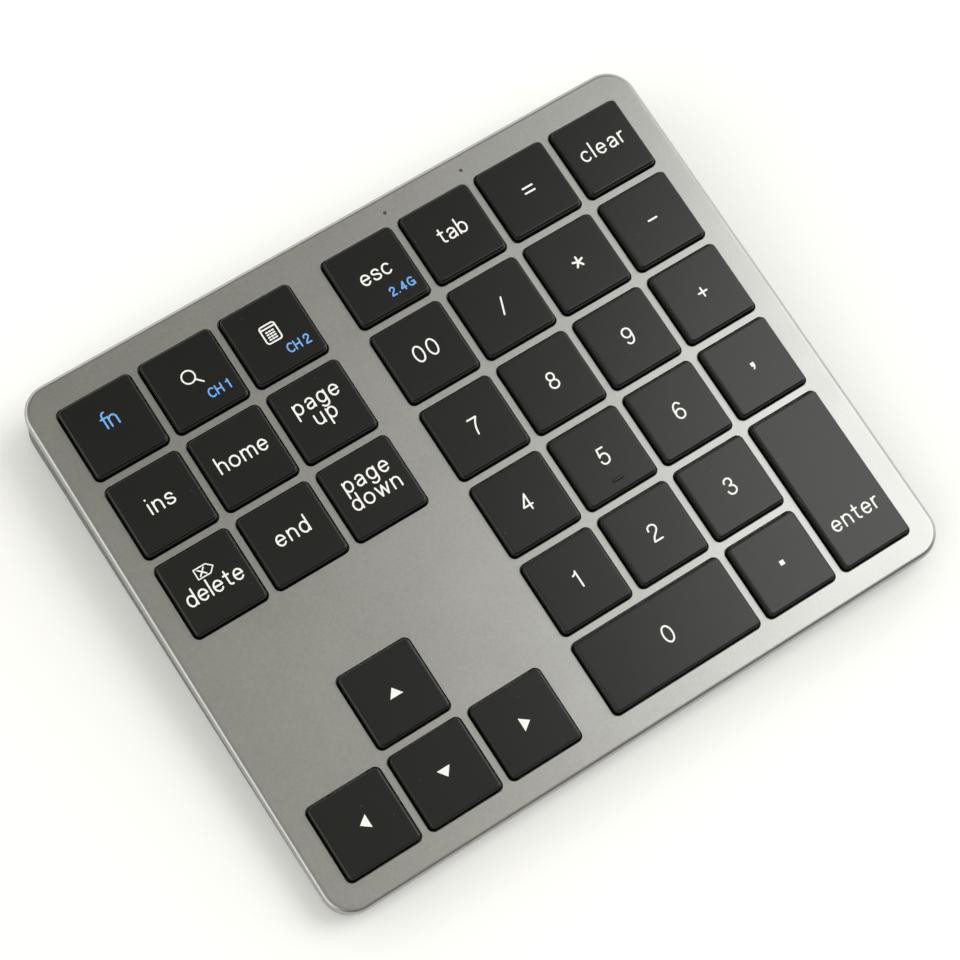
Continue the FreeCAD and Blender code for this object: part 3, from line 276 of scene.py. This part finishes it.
SKINS = {
    "anodised_aluminium": aluminium(),
    "keycap_plastic": keycap(),
    "circuit_board": board(),
    "lead_insulation": leads(),
    # Painted shade: the case plastic's grey is darker than the case's own silver grey, to stand for the shade that
    # falls along the front wall.
    "case_plastic": grained("case_plastic", (0.10, 0.10, 0.098), 0.10, 0.00025, (0.46, 0.56),
                            0.00001, Specular_IOR_Level=0.35),
    "foot_rubber": grained("foot_rubber", (0.018, 0.018, 0.018), 0.25, 0.0003, (0.72, 0.9),
                           0.00003),
    "plate_steel": grained("plate_steel", (0.56, 0.57, 0.58), 0.10, 0.0005, (0.28, 0.4),
                           0.000008, Metallic=1.0),
    "membrane_film": grained("membrane_film", (0.62, 0.64, 0.62), 0.06, 0.004, (0.18, 0.3),
                             0.00001, Coat_Weight=0.4, Coat_Roughness=0.1),
    "dome_silicone": grained("dome_silicone", (0.66, 0.67, 0.66), 0.06, 0.0004, (0.4, 0.55),
                             0.000015, Subsurface_Weight=0.25),
    "link_plastic": grained("link_plastic", (0.045, 0.045, 0.047), 0.15, 0.0003, (0.4, 0.52),
                            0.00001),
    "screw_steel": grained("screw_steel", (0.42, 0.42, 0.41), 0.12, 0.0002, (0.25, 0.42),
                           0.00001, Metallic=1.0),
    "tin_shield": grained("tin_shield", (0.68, 0.68, 0.66), 0.08, 0.0004, (0.22, 0.36),
                          0.00001, Metallic=1.0),
    "connector_plastic": grained("connector_plastic", (0.03, 0.03, 0.032), 0.2, 0.0003,
                                 (0.4, 0.55), 0.00001),
    "battery_wrap": grained("battery_wrap", (0.36, 0.38, 0.40), 0.08, 0.0008, (0.2, 0.34),
                            0.00004, Metallic=0.75),
    "knob_plastic": grained("knob_plastic", (0.02, 0.02, 0.021), 0.2, 0.00025, (0.45, 0.6),
                            0.00002),
    "lamp_plastic": grained("lamp_plastic", (0.75, 0.72, 0.5), 0.08, 0.0003, (0.2, 0.35),
                            0.00001, Coat_Weight=0.4, Coat_Roughness=0.08),
    "clear_guide": grained("clear_guide", (0.10, 0.10, 0.10), 0.08, 0.0004, (0.12, 0.25),
                           0.000006, Transmission_Weight=0.3, IOR=1.49),
}


def skin(slot):
    return SKINS[slot].material


def finish_nodes():
    slots = {part["node"]: part["material_slot"] for part in frame["record"]["subparts"]}
    for name, node in frame["nodes"].items():
        node.data.materials.clear()
        node.data.materials.append(skin(slots[name]))


# ---------------------------------------------------------------- strokes and letters

BOW_STEP = 10                # degrees between the points of a bow
SMOOTH_STEPS = 5             # pieces of a smooth line between two of its points


def bow(x, y, across, up, start, end):
    """Part of an ellipse, from one angle to another in degrees."""
    steps = max(3, round(abs(end - start) / BOW_STEP))
    angles = [math.radians(start + (end - start) * step / steps) for step in range(steps + 1)]
    return [(x + across * math.cos(a), y + up * math.sin(a)) for a in angles]


def smooth(points):
    """A smooth line through the points."""
    line = []
    for index in range(len(points) - 1):
        before = points[max(index - 1, 0)]
        start, end = points[index], points[index + 1]
        after = points[min(index + 2, len(points) - 1)]
        for step in range(SMOOTH_STEPS):
            t = step / SMOOTH_STEPS
            line.append(tuple(
                0.5 * (2 * b + (c - a) * t + (2 * a - 5 * b + 4 * c - d) * t * t
                       + (3 * b - a - 3 * c + d) * t ** 3)
                for a, b, c, d in zip(before, start, end, after)))
    line.append(points[-1])
    return line


def corners(*points):
    """Straight strokes from point to point, each with its own round ends."""
    return [[first, second] for first, second in zip(points, points[1:])]


# Each letter is a list of strokes, in units of the height of a small letter above its baseline.
LETTERS = {
    "a": [[(0.70, 0.07), (0.70, 0.62)] + bow(0.39, 0.63, 0.31, 0.30, 0, 155),
          [(0.70, 0.56)] + smooth([(0.60, 0.545), (0.34, 0.50), (0.13, 0.40), (0.09, 0.25),
                                   (0.17, 0.11), (0.34, 0.07), (0.55, 0.13), (0.70, 0.32)])],
    "b": [[(0.08, 0.07), (0.08, 1.42)], bow(0.43, 0.5, 0.34, 0.43, 0, 360)],
    "c": [bow(0.43, 0.5, 0.36, 0.43, 42, 318)],
    "d": [[(0.76, 0.07), (0.76, 1.42)], bow(0.42, 0.5, 0.34, 0.43, 0, 360)],
    "e": [[(0.08, 0.52), (0.77, 0.52)], bow(0.43, 0.5, 0.35, 0.43, 2, 322)],
    "f": [[(0.27, 0.07), (0.27, 1.12)] + bow(0.52, 1.13, 0.25, 0.28, 180, 82),
          [(0.06, 0.93), (0.52, 0.93)]],
    "g": [bow(0.42, 0.5, 0.34, 0.43, 0, 360),
          [(0.76, 0.93), (0.76, 0.0)] + bow(0.43, -0.02, 0.33, 0.33, 0, -152)],
    "h": [[(0.08, 0.07), (0.08, 1.42)], bow(0.40, 0.58, 0.32, 0.35, 180, 0) + [(0.72, 0.07)]],
    "i": [[(0.10, 0.07), (0.10, 0.93)], [(0.10, 1.33), (0.10, 1.36)]],
    "l": [[(0.10, 0.07), (0.10, 1.42)]],
    "m": [[(0.08, 0.07), (0.08, 0.93)], bow(0.35, 0.62, 0.27, 0.31, 180, 0) + [(0.62, 0.07)],
          bow(0.89, 0.62, 0.27, 0.31, 180, 0) + [(1.16, 0.07)]],
    "n": [[(0.08, 0.07), (0.08, 0.93)], bow(0.40, 0.58, 0.32, 0.35, 180, 0) + [(0.72, 0.07)]],
    "o": [bow(0.45, 0.5, 0.38, 0.43, 0, 360)],
    "p": [[(0.08, -0.40), (0.08, 0.93)], bow(0.42, 0.5, 0.34, 0.43, 0, 360)],
    "r": [[(0.08, 0.07), (0.08, 0.93)], bow(0.37, 0.60, 0.29, 0.33, 180, 74)],
    "s": [smooth([(0.67, 0.74), (0.56, 0.89), (0.37, 0.93), (0.18, 0.87), (0.11, 0.72),
                  (0.20, 0.59), (0.40, 0.52), (0.60, 0.44), (0.70, 0.29), (0.60, 0.12),
                  (0.38, 0.07), (0.17, 0.12), (0.07, 0.27)])],
    "t": [[(0.26, 1.26), (0.26, 0.27)] + bow(0.46, 0.27, 0.20, 0.20, 180, 285),
          [(0.05, 0.93), (0.50, 0.93)]],
    "u": [bow(0.40, 0.42, 0.32, 0.35, -180, 0), [(0.08, 0.42), (0.08, 0.93)],
          [(0.72, 0.07), (0.72, 0.93)]],
    "w": corners((0.04, 0.93), (0.30, 0.07), (0.56, 0.90), (0.82, 0.07), (1.08, 0.93)),
    "C": [bow(0.60, 0.75, 0.50, 0.68, 48, 312)],
    "G": [bow(0.60, 0.75, 0.50, 0.68, 48, 330),
          *corners((0.66, 0.68), (1.08, 0.68), (1.08, 0.12))],
    "H": [[(0.10, 0.07), (0.10, 1.43)], [(0.98, 0.07), (0.98, 1.43)],
          [(0.10, 0.77), (0.98, 0.77)]],
    "0": [bow(0.46, 0.75, 0.40, 0.68, 0, 360)],
    "1": [*corners((0.14, 1.14), (0.30, 1.20)), smooth([(0.30, 1.20), (0.42, 1.30), (0.47, 1.43)]),
          [(0.47, 1.43), (0.47, 0.07)]],
    "2": [smooth([(0.10, 1.04), (0.15, 1.27), (0.32, 1.41), (0.54, 1.42), (0.75, 1.30),
                  (0.82, 1.08), (0.73, 0.86), (0.50, 0.63), (0.26, 0.40), (0.11, 0.08)]),
          [(0.11, 0.07), (0.85, 0.07)]],
    "3": [smooth([(0.12, 1.12), (0.20, 1.32), (0.42, 1.43), (0.66, 1.36), (0.76, 1.12),
                  (0.66, 0.89), (0.42, 0.80)]),
          smooth([(0.42, 0.80), (0.70, 0.71), (0.83, 0.43), (0.70, 0.16), (0.43, 0.07),
                  (0.18, 0.17), (0.08, 0.42)])],
    "4": corners((0.66, 0.07), (0.66, 1.41), (0.07, 0.43), (0.88, 0.43)),
    "5": [*corners((0.76, 1.42), (0.24, 1.42), (0.14, 0.76)),
          smooth([(0.14, 0.76), (0.30, 0.90), (0.52, 0.93), (0.75, 0.80), (0.83, 0.50),
                  (0.72, 0.19), (0.44, 0.07), (0.19, 0.15), (0.08, 0.38)])],
    "6": [bow(0.46, 0.47, 0.37, 0.40, 0, 360),
          smooth([(0.78, 1.22), (0.66, 1.38), (0.46, 1.43), (0.24, 1.29), (0.12, 1.00),
                  (0.09, 0.66), (0.09, 0.47)])],
    "7": [*corners((0.08, 1.42), (0.84, 1.42)),
          smooth([(0.84, 1.40), (0.60, 1.05), (0.42, 0.60), (0.34, 0.07)])],
    "8": [bow(0.46, 1.10, 0.31, 0.32, 0, 360), bow(0.46, 0.43, 0.38, 0.36, 0, 360)],
    "9": [bow(0.46, 1.03, 0.37, 0.40, 0, 360),
          smooth([(0.14, 0.28), (0.26, 0.12), (0.46, 0.07), (0.68, 0.21), (0.80, 0.50),
                  (0.83, 0.84), (0.83, 1.03)])],
    ".": [[(0.09, 0.08), (0.09, 0.10)]],
    " ": [],
}
BLANK = 0.30                 # room for a blank, in the letters' units
CAPITAL = 1.5                # height of a digit or capital, in the letters' units


def word(text, unit, width, x, y, level, stroke):
    """Strokes of a word that wide, with the given level of its letters on y."""
    half = stroke / 2 / unit
    edges = []
    for letter in text:
        reach = [point[0] for line in LETTERS[letter] for point in line]
        edges.append((min(reach) - half, max(reach) + half) if reach else (0, BLANK))
    solid = sum(high - low for low, high in edges)
    gap = (width / unit - solid) / (len(text) - 1) if len(text) > 1 else 0
    start = -(solid + gap * (len(text) - 1)) / 2
    lines = []
    for letter, (low, high) in zip(text, edges):
        for line in LETTERS[letter]:
            lines.append([(x + (start - low + px) * unit, y + (py - level) * unit)
                          for px, py in line])
        start += high - low + gap
    return [(line, stroke) for line in lines]


SMALL = 2.6                  # height of small letters, mm
STROKE = 0.38                # width of the lines of a legend, and of a small mark, mm
MARK_STROKE = 0.33
MIDLINE = 0.5                # level of a small letter's middle, and of a digit's
DIGIT_MIDLINE = CAPITAL / 2


def letters(text, width, y=0.0):
    return word(text, SMALL, width, 0.0, y, MIDLINE, STROKE)


def digits(text, width=0.0):
    return word(text, SMALL, width, 0.0, 0.0, DIGIT_MIDLINE, STROKE)


def small_mark(text, height, width, x, y):
    return word(text, height / CAPITAL, width, x, y, DIGIT_MIDLINE, MARK_STROKE)


def filled(*points):
    """A solid shape, given by its corners."""
    return [(list(points), None)]


def lines(stroke, *strokes):
    """Strokes of one width."""
    return [(line, stroke) for line in strokes]


def arrow(angle):
    """A solid triangle that points to an angle, in degrees from the right."""
    turn = math.radians(angle)
    shape = [(1.0, 0.0), (-1.0, 1.5), (-1.0, -1.5)]
    return filled(*[(x * math.cos(turn) - y * math.sin(turn),
                     x * math.sin(turn) + y * math.cos(turn)) for x, y in shape])


def star():
    """The sign of multiplication, with five arms."""
    arms = [math.radians(90 + 72 * arm) for arm in range(5)]
    return lines(0.46, *[[(0, 0), (1.2 * math.cos(a), 1.2 * math.sin(a))] for a in arms])


def magnifier():
    """A ring with a handle."""
    ring = bow(-0.75, 0.95, 1.42, 1.42, 0, 360)
    return lines(0.34, ring, [(0.28, -0.10), (1.55, -1.40)])


def calculator():
    """A pocket calculator: outline, display and a block of keys."""
    half_width, half_height = 1.75, 2.0
    x, middle = -0.4, 0.5
    top, bottom = middle + half_height, middle - half_height
    bend = 0.6
    outline = []
    for side_x, side_y, start in ((1, 1, 0), (-1, 1, 90), (-1, -1, 180), (1, -1, 270)):
        outline += bow(x + side_x * (half_width - bend), middle + side_y * (half_height - bend),
                       bend, bend, start, start + 90)
    outline.append(outline[0])
    header = [[(x - half_width, top - 0.75), (x + half_width, top - 0.75)]]
    keys = [[(x - 0.85 + 0.7 * column, bottom + 0.7 + 0.58 * row),
             (x - 0.55 + 0.7 * column, bottom + 0.7 + 0.58 * row)]
            for column in range(3) for row in range(4)]
    return lines(0.34, outline, *header) + lines(0.36, *keys)


def erase_mark(y):
    """A pointed tab with a cross in it."""
    tab = corners((-2.0, y - 1.1), (0.8, y - 1.1), (1.95, y), (0.8, y + 1.1), (-2.0, y + 1.1),
                  (-2.0, y - 1.1))
    cross = [[(-1.3, y - 0.7), (0.1, y + 0.7)], [(-1.3, y + 0.7), (0.1, y - 0.7)]]
    return lines(0.26, *tab) + lines(0.30, *cross)


DOT = filled((-0.52, -0.52), (0.52, -0.52), (0.52, 0.52), (-0.52, 0.52))
COMMA = (filled((-0.44, -0.09), (0.44, -0.09), (0.44, 0.78), (-0.44, 0.78))
         + filled((0.44, -0.09), (-0.02, -0.09), (-0.36, -0.80), (-0.02, -0.80)))

WHITE_LEGENDS = {
    "key_search": magnifier(),
    "key_calculator": calculator(),
    "key_esc": letters("esc", 7.1, y=0.25),
    "key_tab": letters("tab", 6.8),
    "key_equals": lines(0.42, [(-1.15, 0.6), (1.15, 0.6)], [(-1.15, -0.6), (1.15, -0.6)]),
    "key_clear": letters("clear", 10.95),
    "key_insert": letters("ins", 5.8),
    "key_home": letters("home", 11.5),
    "key_page_up": letters("page", 10.6, y=2.55) + letters("up", 5.0, y=-1.3),
    "key_page_down": letters("page", 10.6, y=2.5) + letters("down", 11.4, y=-1.7),
    "key_delete": letters("delete", 12.9, y=-1.46) + erase_mark(2.7),
    "key_end": letters("end", 7.7),
    "key_enter": letters("enter", 11.7, y=-9.1),
    "key_double_zero": digits("00", 5.7),
    "key_zero": digits("0"),
    "key_one": digits("1"),
    "key_two": digits("2"),
    "key_three": digits("3"),
    "key_four": digits("4"),
    "key_five": digits("5"),
    "key_six": digits("6"),
    "key_seven": digits("7"),
    "key_eight": digits("8"),
    "key_nine": digits("9"),
    "key_divide": lines(0.38, [(-0.65, -1.8), (0.65, 1.8)]),
    "key_multiply": star(),
    "key_minus": lines(0.42, [(-1.0, 0), (1.0, 0)]),
    "key_plus": lines(0.40, [(-1.0, 0), (1.0, 0)], [(0, -1.0), (0, 1.0)]),
    "key_comma": COMMA,
    "key_point": DOT,
    "key_up": arrow(90),
    "key_left": arrow(180),
    "key_down": arrow(270),
    "key_right": arrow(0),
}
BLUE_LEGENDS = {
    "key_fn": letters("fn", 3.6, y=1.0),
    "key_search": small_mark("CH 1", 2.1, 5.0, 3.4, -4.3),
    "key_calculator": small_mark("CH 2", 2.1, 5.4, 3.4, -4.3),
    "key_esc": small_mark("2.4G", 2.0, 5.9, 3.4, -4.7),
}

PRINT = 0.012                # thickness of the ink, mm
PRINT_STEP = 0.0008          # each stroke stands this much above the last
SUNK = -0.01                 # foot of the ink's edge, below the cap's face
ROUND_END = 6                # sides of a stroke's half-round end
SAME_SPOT = 1e-6             # points nearer than this are one, mm


def stroke_sides(line, half):
    """Points to the left and right of a line, mitred at its bends."""
    closed = math.dist(line[0], line[-1]) < SAME_SPOT
    count = len(line)
    left, right = [], []
    for index, (x, y) in enumerate(line):
        before = line[index - 1] if index else (line[-2] if closed else line[0])
        after = line[index + 1] if index < count - 1 else (line[1] if closed else line[-1])
        across, up = after[0] - before[0], after[1] - before[1]
        length = math.hypot(across, up)
        left.append((x - up / length * half, y + across / length * half))
        right.append((x + up / length * half, y - across / length * half))
    return left, right, closed


def round_end(centre, start, turn):
    """A half circle about a line's end, from one side to the other."""
    radius = math.dist(centre, start)
    first = math.atan2(start[1] - centre[1], start[0] - centre[0])
    return [(centre[0] + radius * math.cos(first + turn * math.pi * step / ROUND_END),
             centre[1] + radius * math.sin(first + turn * math.pi * step / ROUND_END))
            for step in range(ROUND_END + 1)]


class Print:
    """The flat raised mesh of a legend."""

    def __init__(self):
        self.points, self.faces, self.level = [], [], PRINT

    def polygon(self, corner_points):
        """One flat patch, with an edge down to the cap."""
        turned = sum(a[0] * b[1] - b[0] * a[1] for a, b in
                     zip(corner_points, corner_points[1:] + corner_points[:1]))
        if turned < 0:
            corner_points = corner_points[::-1]
        first, count = len(self.points), len(corner_points)
        self.points += [(x, y, self.level) for x, y in corner_points]
        self.points += [(x, y, SUNK) for x, y in corner_points]
        self.faces.append([first + index for index in range(count)])
        for index in range(count):
            beside = (index + 1) % count
            self.faces.append([first + beside, first + index, first + count + index,
                               first + count + beside])

    def ribbon(self, line, width):
        left, right, closed = stroke_sides(line, width / 2)
        first, count = len(self.points), len(line)
        for x, y in left + right:
            self.points.append((x, y, self.level))
        for x, y in left + right:
            self.points.append((x, y, SUNK))
        for index in range(count - 1):
            l0, l1 = first + index, first + index + 1
            r0, r1 = l0 + count, l1 + count
            drop = 2 * count
            self.faces.append([l1, l0, r0, r1])
            self.faces.append([l0, l1, l1 + drop, l0 + drop])
            self.faces.append([r1, r0, r0 + drop, r1 + drop])
        if not closed:
            self.polygon(round_end(line[0], left[0], 1))
            self.polygon(round_end(line[-1], left[-1], -1))

    def draw(self, strokes):
        for line, width in strokes:
            if width is None:
                self.polygon(line)
            else:
                self.ribbon(line, width)
            self.level += PRINT_STEP
        return self


def add_piece(name, points, faces, body, material):
    """A mesh object in row-frame metres that rides on a body."""
    mesh = bpy.data.meshes.new(name)
    mesh.from_pydata([tuple(point) for point in points], [], faces)
    mesh.update()
    mesh.materials.append(material)
    piece = bpy.data.objects.new(name, mesh)
    bpy.context.scene.collection.objects.link(piece)
    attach(piece, body)
    return piece


def print_legends(legends, prefix, ink):
    """A raised print on each keycap, which goes down with its key."""
    for key, strokes in legends.items():
        drawn = Print().draw(strokes)
        middle = cap_middle(key)
        points = [middle + place(x * MM, y * MM, z * MM) for x, y, z in drawn.points]
        add_piece(prefix + key, points, drawn.faces, key, ink)


# ---------------------------------------------------------------- what folds under each key

def nearest_key(point):
    """The key whose cap lies over a point."""
    across, back = RIGHT.dot(point), REAR.dot(point)

    def away(name):
        (left, right), (front, rear) = KEY_SPANS[name][:2]
        return max(left - across, across - right, front - back, back - rear)

    return min(KEYS, key=away)


def faces_by_key(name):
    """The faces of a shared node, sorted under their keys."""
    mesh = frame["nodes"][name].data
    sorted_faces = {}
    for polygon in mesh.polygons:
        sorted_faces.setdefault(nearest_key(polygon.center), []).append(polygon)
    return mesh, sorted_faces


def fold_with(piece):
    """The piece gets a mesh of its own."""
    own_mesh(piece)


DECIMALS = 7                 # corners that agree to this many decimals of a metre are one


def folding_links(name, slot):
    """One pair of plastic links for each key, from the frame's shape of them all."""
    mesh, sorted_faces = faces_by_key(name)
    for key, polygons in sorted_faces.items():
        numbers, points, faces = {}, [], []
        for polygon in polygons:
            face = []
            for index in polygon.vertices:
                spot = tuple(round(value, DECIMALS) for value in mesh.vertices[index].co)
                if spot not in numbers:
                    numbers[spot] = len(points)
                    points.append(spot)
                face.append(numbers[spot])
            if len(set(face)) == len(face):
                faces.append(face)
        piece = add_piece(name + key[3:], points, faces, "case", skin(slot))
        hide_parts(name)
        fold_with(piece)


DOME_PROFILE = [             # share of the foot's radius, share of the height
    (1.0, 0.0), (1.0, 0.07), (0.90, 0.10), (0.86, 0.16), (0.80, 0.34), (0.72, 0.52),
    (0.64, 0.64), (0.58, 0.70), (0.57, 0.90), (0.53, 0.98), (0.42, 1.0), (0.30, 0.97),
    (0.0, 0.96),
]
DOME_SIDES = 40


def domes():
    """A silicone dome under each key: a thin foot, a curved wall and a button on top."""
    mesh, sorted_faces = faces_by_key("rubber_domes")
    for key, polygons in sorted_faces.items():
        reach = spans([mesh.vertices[i].co for polygon in polygons for i in polygon.vertices])
        across, back = (sum(pair) / 2 for pair in reach[:2])
        radius = (reach[0][1] - reach[0][0]) / 2
        low, high = reach[2]
        points, faces = [], []
        for share, level in DOME_PROFILE:
            for side in range(DOME_SIDES):
                turn = 2 * math.pi * side / DOME_SIDES
                points.append(place(across + radius * share * math.cos(turn),
                                    back + radius * share * math.sin(turn),
                                    low + (high - low) * level))
        for ring in range(len(DOME_PROFILE) - 1):
            for side in range(DOME_SIDES):
                beside = (side + 1) % DOME_SIDES
                inner, outer = ring * DOME_SIDES, (ring + 1) * DOME_SIDES
                faces.append([inner + side, inner + beside, outer + beside, outer + side])
        piece = add_piece("dome" + key[3:], points, faces, "case", skin("dome_silicone"))
        for polygon in piece.data.polygons:
            polygon.use_smooth = True
        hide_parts("rubber_domes")
        fold_with(piece)


# ---------------------------------------------------------------- floor, light and camera

FLOOR = 3.0                  # half the width of the floor

# where the key light stands, how far off and how wide it is, and its power
KEY_LIGHT = {"direction": (0.55, -0.08, 0.83), "distance": 1.6, "size": 1.02, "power": 7.7}

# how bright the room is low down on each side, and overhead
HORIZON_FRONT = 0.20
HORIZON_LEFT = 2.4
HORIZON_RIGHT = 1.9
HORIZON_REAR = 1.75
ZENITH = 0.66
ZENITH_REAR = 0.35
RISE = (0.30, 0.80)          # heights between which the room turns from low to overhead
LOW_TINT = (1.0, 1.0, 0.99, 1)
HIGH_TINT = (1.0, 0.985, 0.86, 1)

# the camera's aim on the plate, how it stands to it, and its lens
AIM = Vector((-2.06, -1.24, 10.96)) * MM
AZIMUTH, ELEVATION, ROLL = (math.radians(angle) for angle in (-44.82, 70.12, 12.28))
DISTANCE = 0.561
LENS = 102.8
SENSOR = 36.0


def studio_floor():
    """Pale paper that glows slightly, to come near to white."""
    mesh = bpy.data.meshes.new("floor")
    corner_points = [(-FLOOR, -FLOOR, 0), (FLOOR, -FLOOR, 0), (FLOOR, FLOOR, 0), (-FLOOR, FLOOR, 0)]
    mesh.from_pydata(corner_points, [], [[0, 1, 2, 3]])
    made = Finish("studio_paper")
    made.link(made.ramp(made.noise(0.4), shades((0.93, 0.93, 0.93), 0.01)),
              made.shader.inputs["Base Color"])
    made.set(Roughness=0.85, Specular_IOR_Level=0.2)
    made.set(Emission_Color=(0.96, 0.97, 1.0, 1), Emission_Strength=0.1)
    mesh.materials.append(made.material)
    floor = bpy.data.objects.new("floor", mesh)
    bpy.context.scene.collection.objects.link(floor)


def studio_light(name, direction, distance, size, power):
    """A soft area light that shines on the keypad from a direction."""
    data = bpy.data.lights.new(name, "AREA")
    data.shape = "DISK"
    data.size = size
    data.energy = power
    light = bpy.data.objects.new(name, data)
    away = Vector(direction).normalized()
    light.location = away * distance
    light.rotation_mode = "QUATERNION"
    light.rotation_quaternion = away.to_track_quat("Z", "Y")
    bpy.context.scene.collection.objects.link(light)


def studio_world():
    """A pale room: bright low down to the sides and rear, dim overhead, dark in front."""
    world = bpy.data.worlds.new("studio")
    world.use_nodes = True
    bpy.context.scene.world = world
    tree = world.node_tree
    background = tree.nodes["Background"]
    direction = tree.nodes.new("ShaderNodeTexCoord").outputs["Generated"]
    parts = tree.nodes.new("ShaderNodeSeparateXYZ")
    tree.links.new(direction, parts.inputs["Vector"])

    def ease(source, start, end, low, high):
        """From low to high while the source goes from start to end."""
        node = tree.nodes.new("ShaderNodeMapRange")
        node.interpolation_type = "SMOOTHSTEP"
        for socket, value in zip(("From Min", "From Max", "To Min", "To Max"),
                                 (start, end, low, high)):
            if isinstance(value, (int, float)):
                node.inputs[socket].default_value = value
            else:
                tree.links.new(value, node.inputs[socket])
        tree.links.new(source, node.inputs["Value"])
        return node.outputs["Result"]

    across, along, up = (parts.outputs[axis] for axis in ("X", "Y", "Z"))
    sides = ease(across, -0.5, 0.2, HORIZON_LEFT, HORIZON_RIGHT)
    rear = ease(along, 0.35, 0.80, sides, HORIZON_REAR)
    low = ease(along, -0.80, -0.20, HORIZON_FRONT, rear)
    top = ease(along, 0.12, 0.32, ZENITH, ZENITH_REAR)
    level = ease(up, *RISE, low, top)
    overhead = ease(up, *RISE, 0.0, 1.0)
    tint = tree.nodes.new("ShaderNodeMix")
    tint.data_type = "RGBA"
    sockets = [socket for socket in tint.inputs if socket.type == "RGBA"]
    sockets[0].default_value = LOW_TINT
    sockets[1].default_value = HIGH_TINT
    tree.links.new(overhead, tint.inputs["Factor"])
    shade = [socket for socket in tint.outputs if socket.type == "RGBA"][0]
    tree.links.new(shade, background.inputs["Color"])
    tree.links.new(level, background.inputs["Strength"])


def studio_camera():
    """The photograph's view: from the front left, high up, with a long lens."""
    back = Vector((math.sin(AZIMUTH) * math.cos(ELEVATION),
                   -math.cos(AZIMUTH) * math.cos(ELEVATION), math.sin(ELEVATION)))
    level_right = Vector((math.cos(AZIMUTH), math.sin(AZIMUTH), 0))
    level_up = back.cross(level_right)
    right = level_right * math.cos(ROLL) + level_up * math.sin(ROLL)
    up = back.cross(right)
    data = bpy.data.cameras.new("camera")
    data.lens = LENS
    data.sensor_width = SENSOR
    data.clip_start = 0.01
    data.clip_end = 20
    camera = bpy.data.objects.new("camera", data)
    stance = Matrix((right, up, back)).transposed().to_4x4()
    stance.translation = AIM + back * DISTANCE
    camera.matrix_world = stance
    bpy.context.scene.collection.objects.link(camera)
    bpy.context.scene.camera = camera


finish_nodes()
print_legends(WHITE_LEGENDS, "legend_", legend_ink("legend_white", (0.93, 0.93, 0.92)))
print_legends(BLUE_LEGENDS, "mark_", legend_ink("legend_blue", (0.16, 0.42, 0.93)))
folding_links("scissor_outer_links", "link_plastic")
folding_links("scissor_inner_links", "link_plastic")
domes()
studio_floor()
studio_light("key_light", **KEY_LIGHT)
studio_world()
studio_camera()
bpy.context.scene.view_settings.view_transform = "Standard"
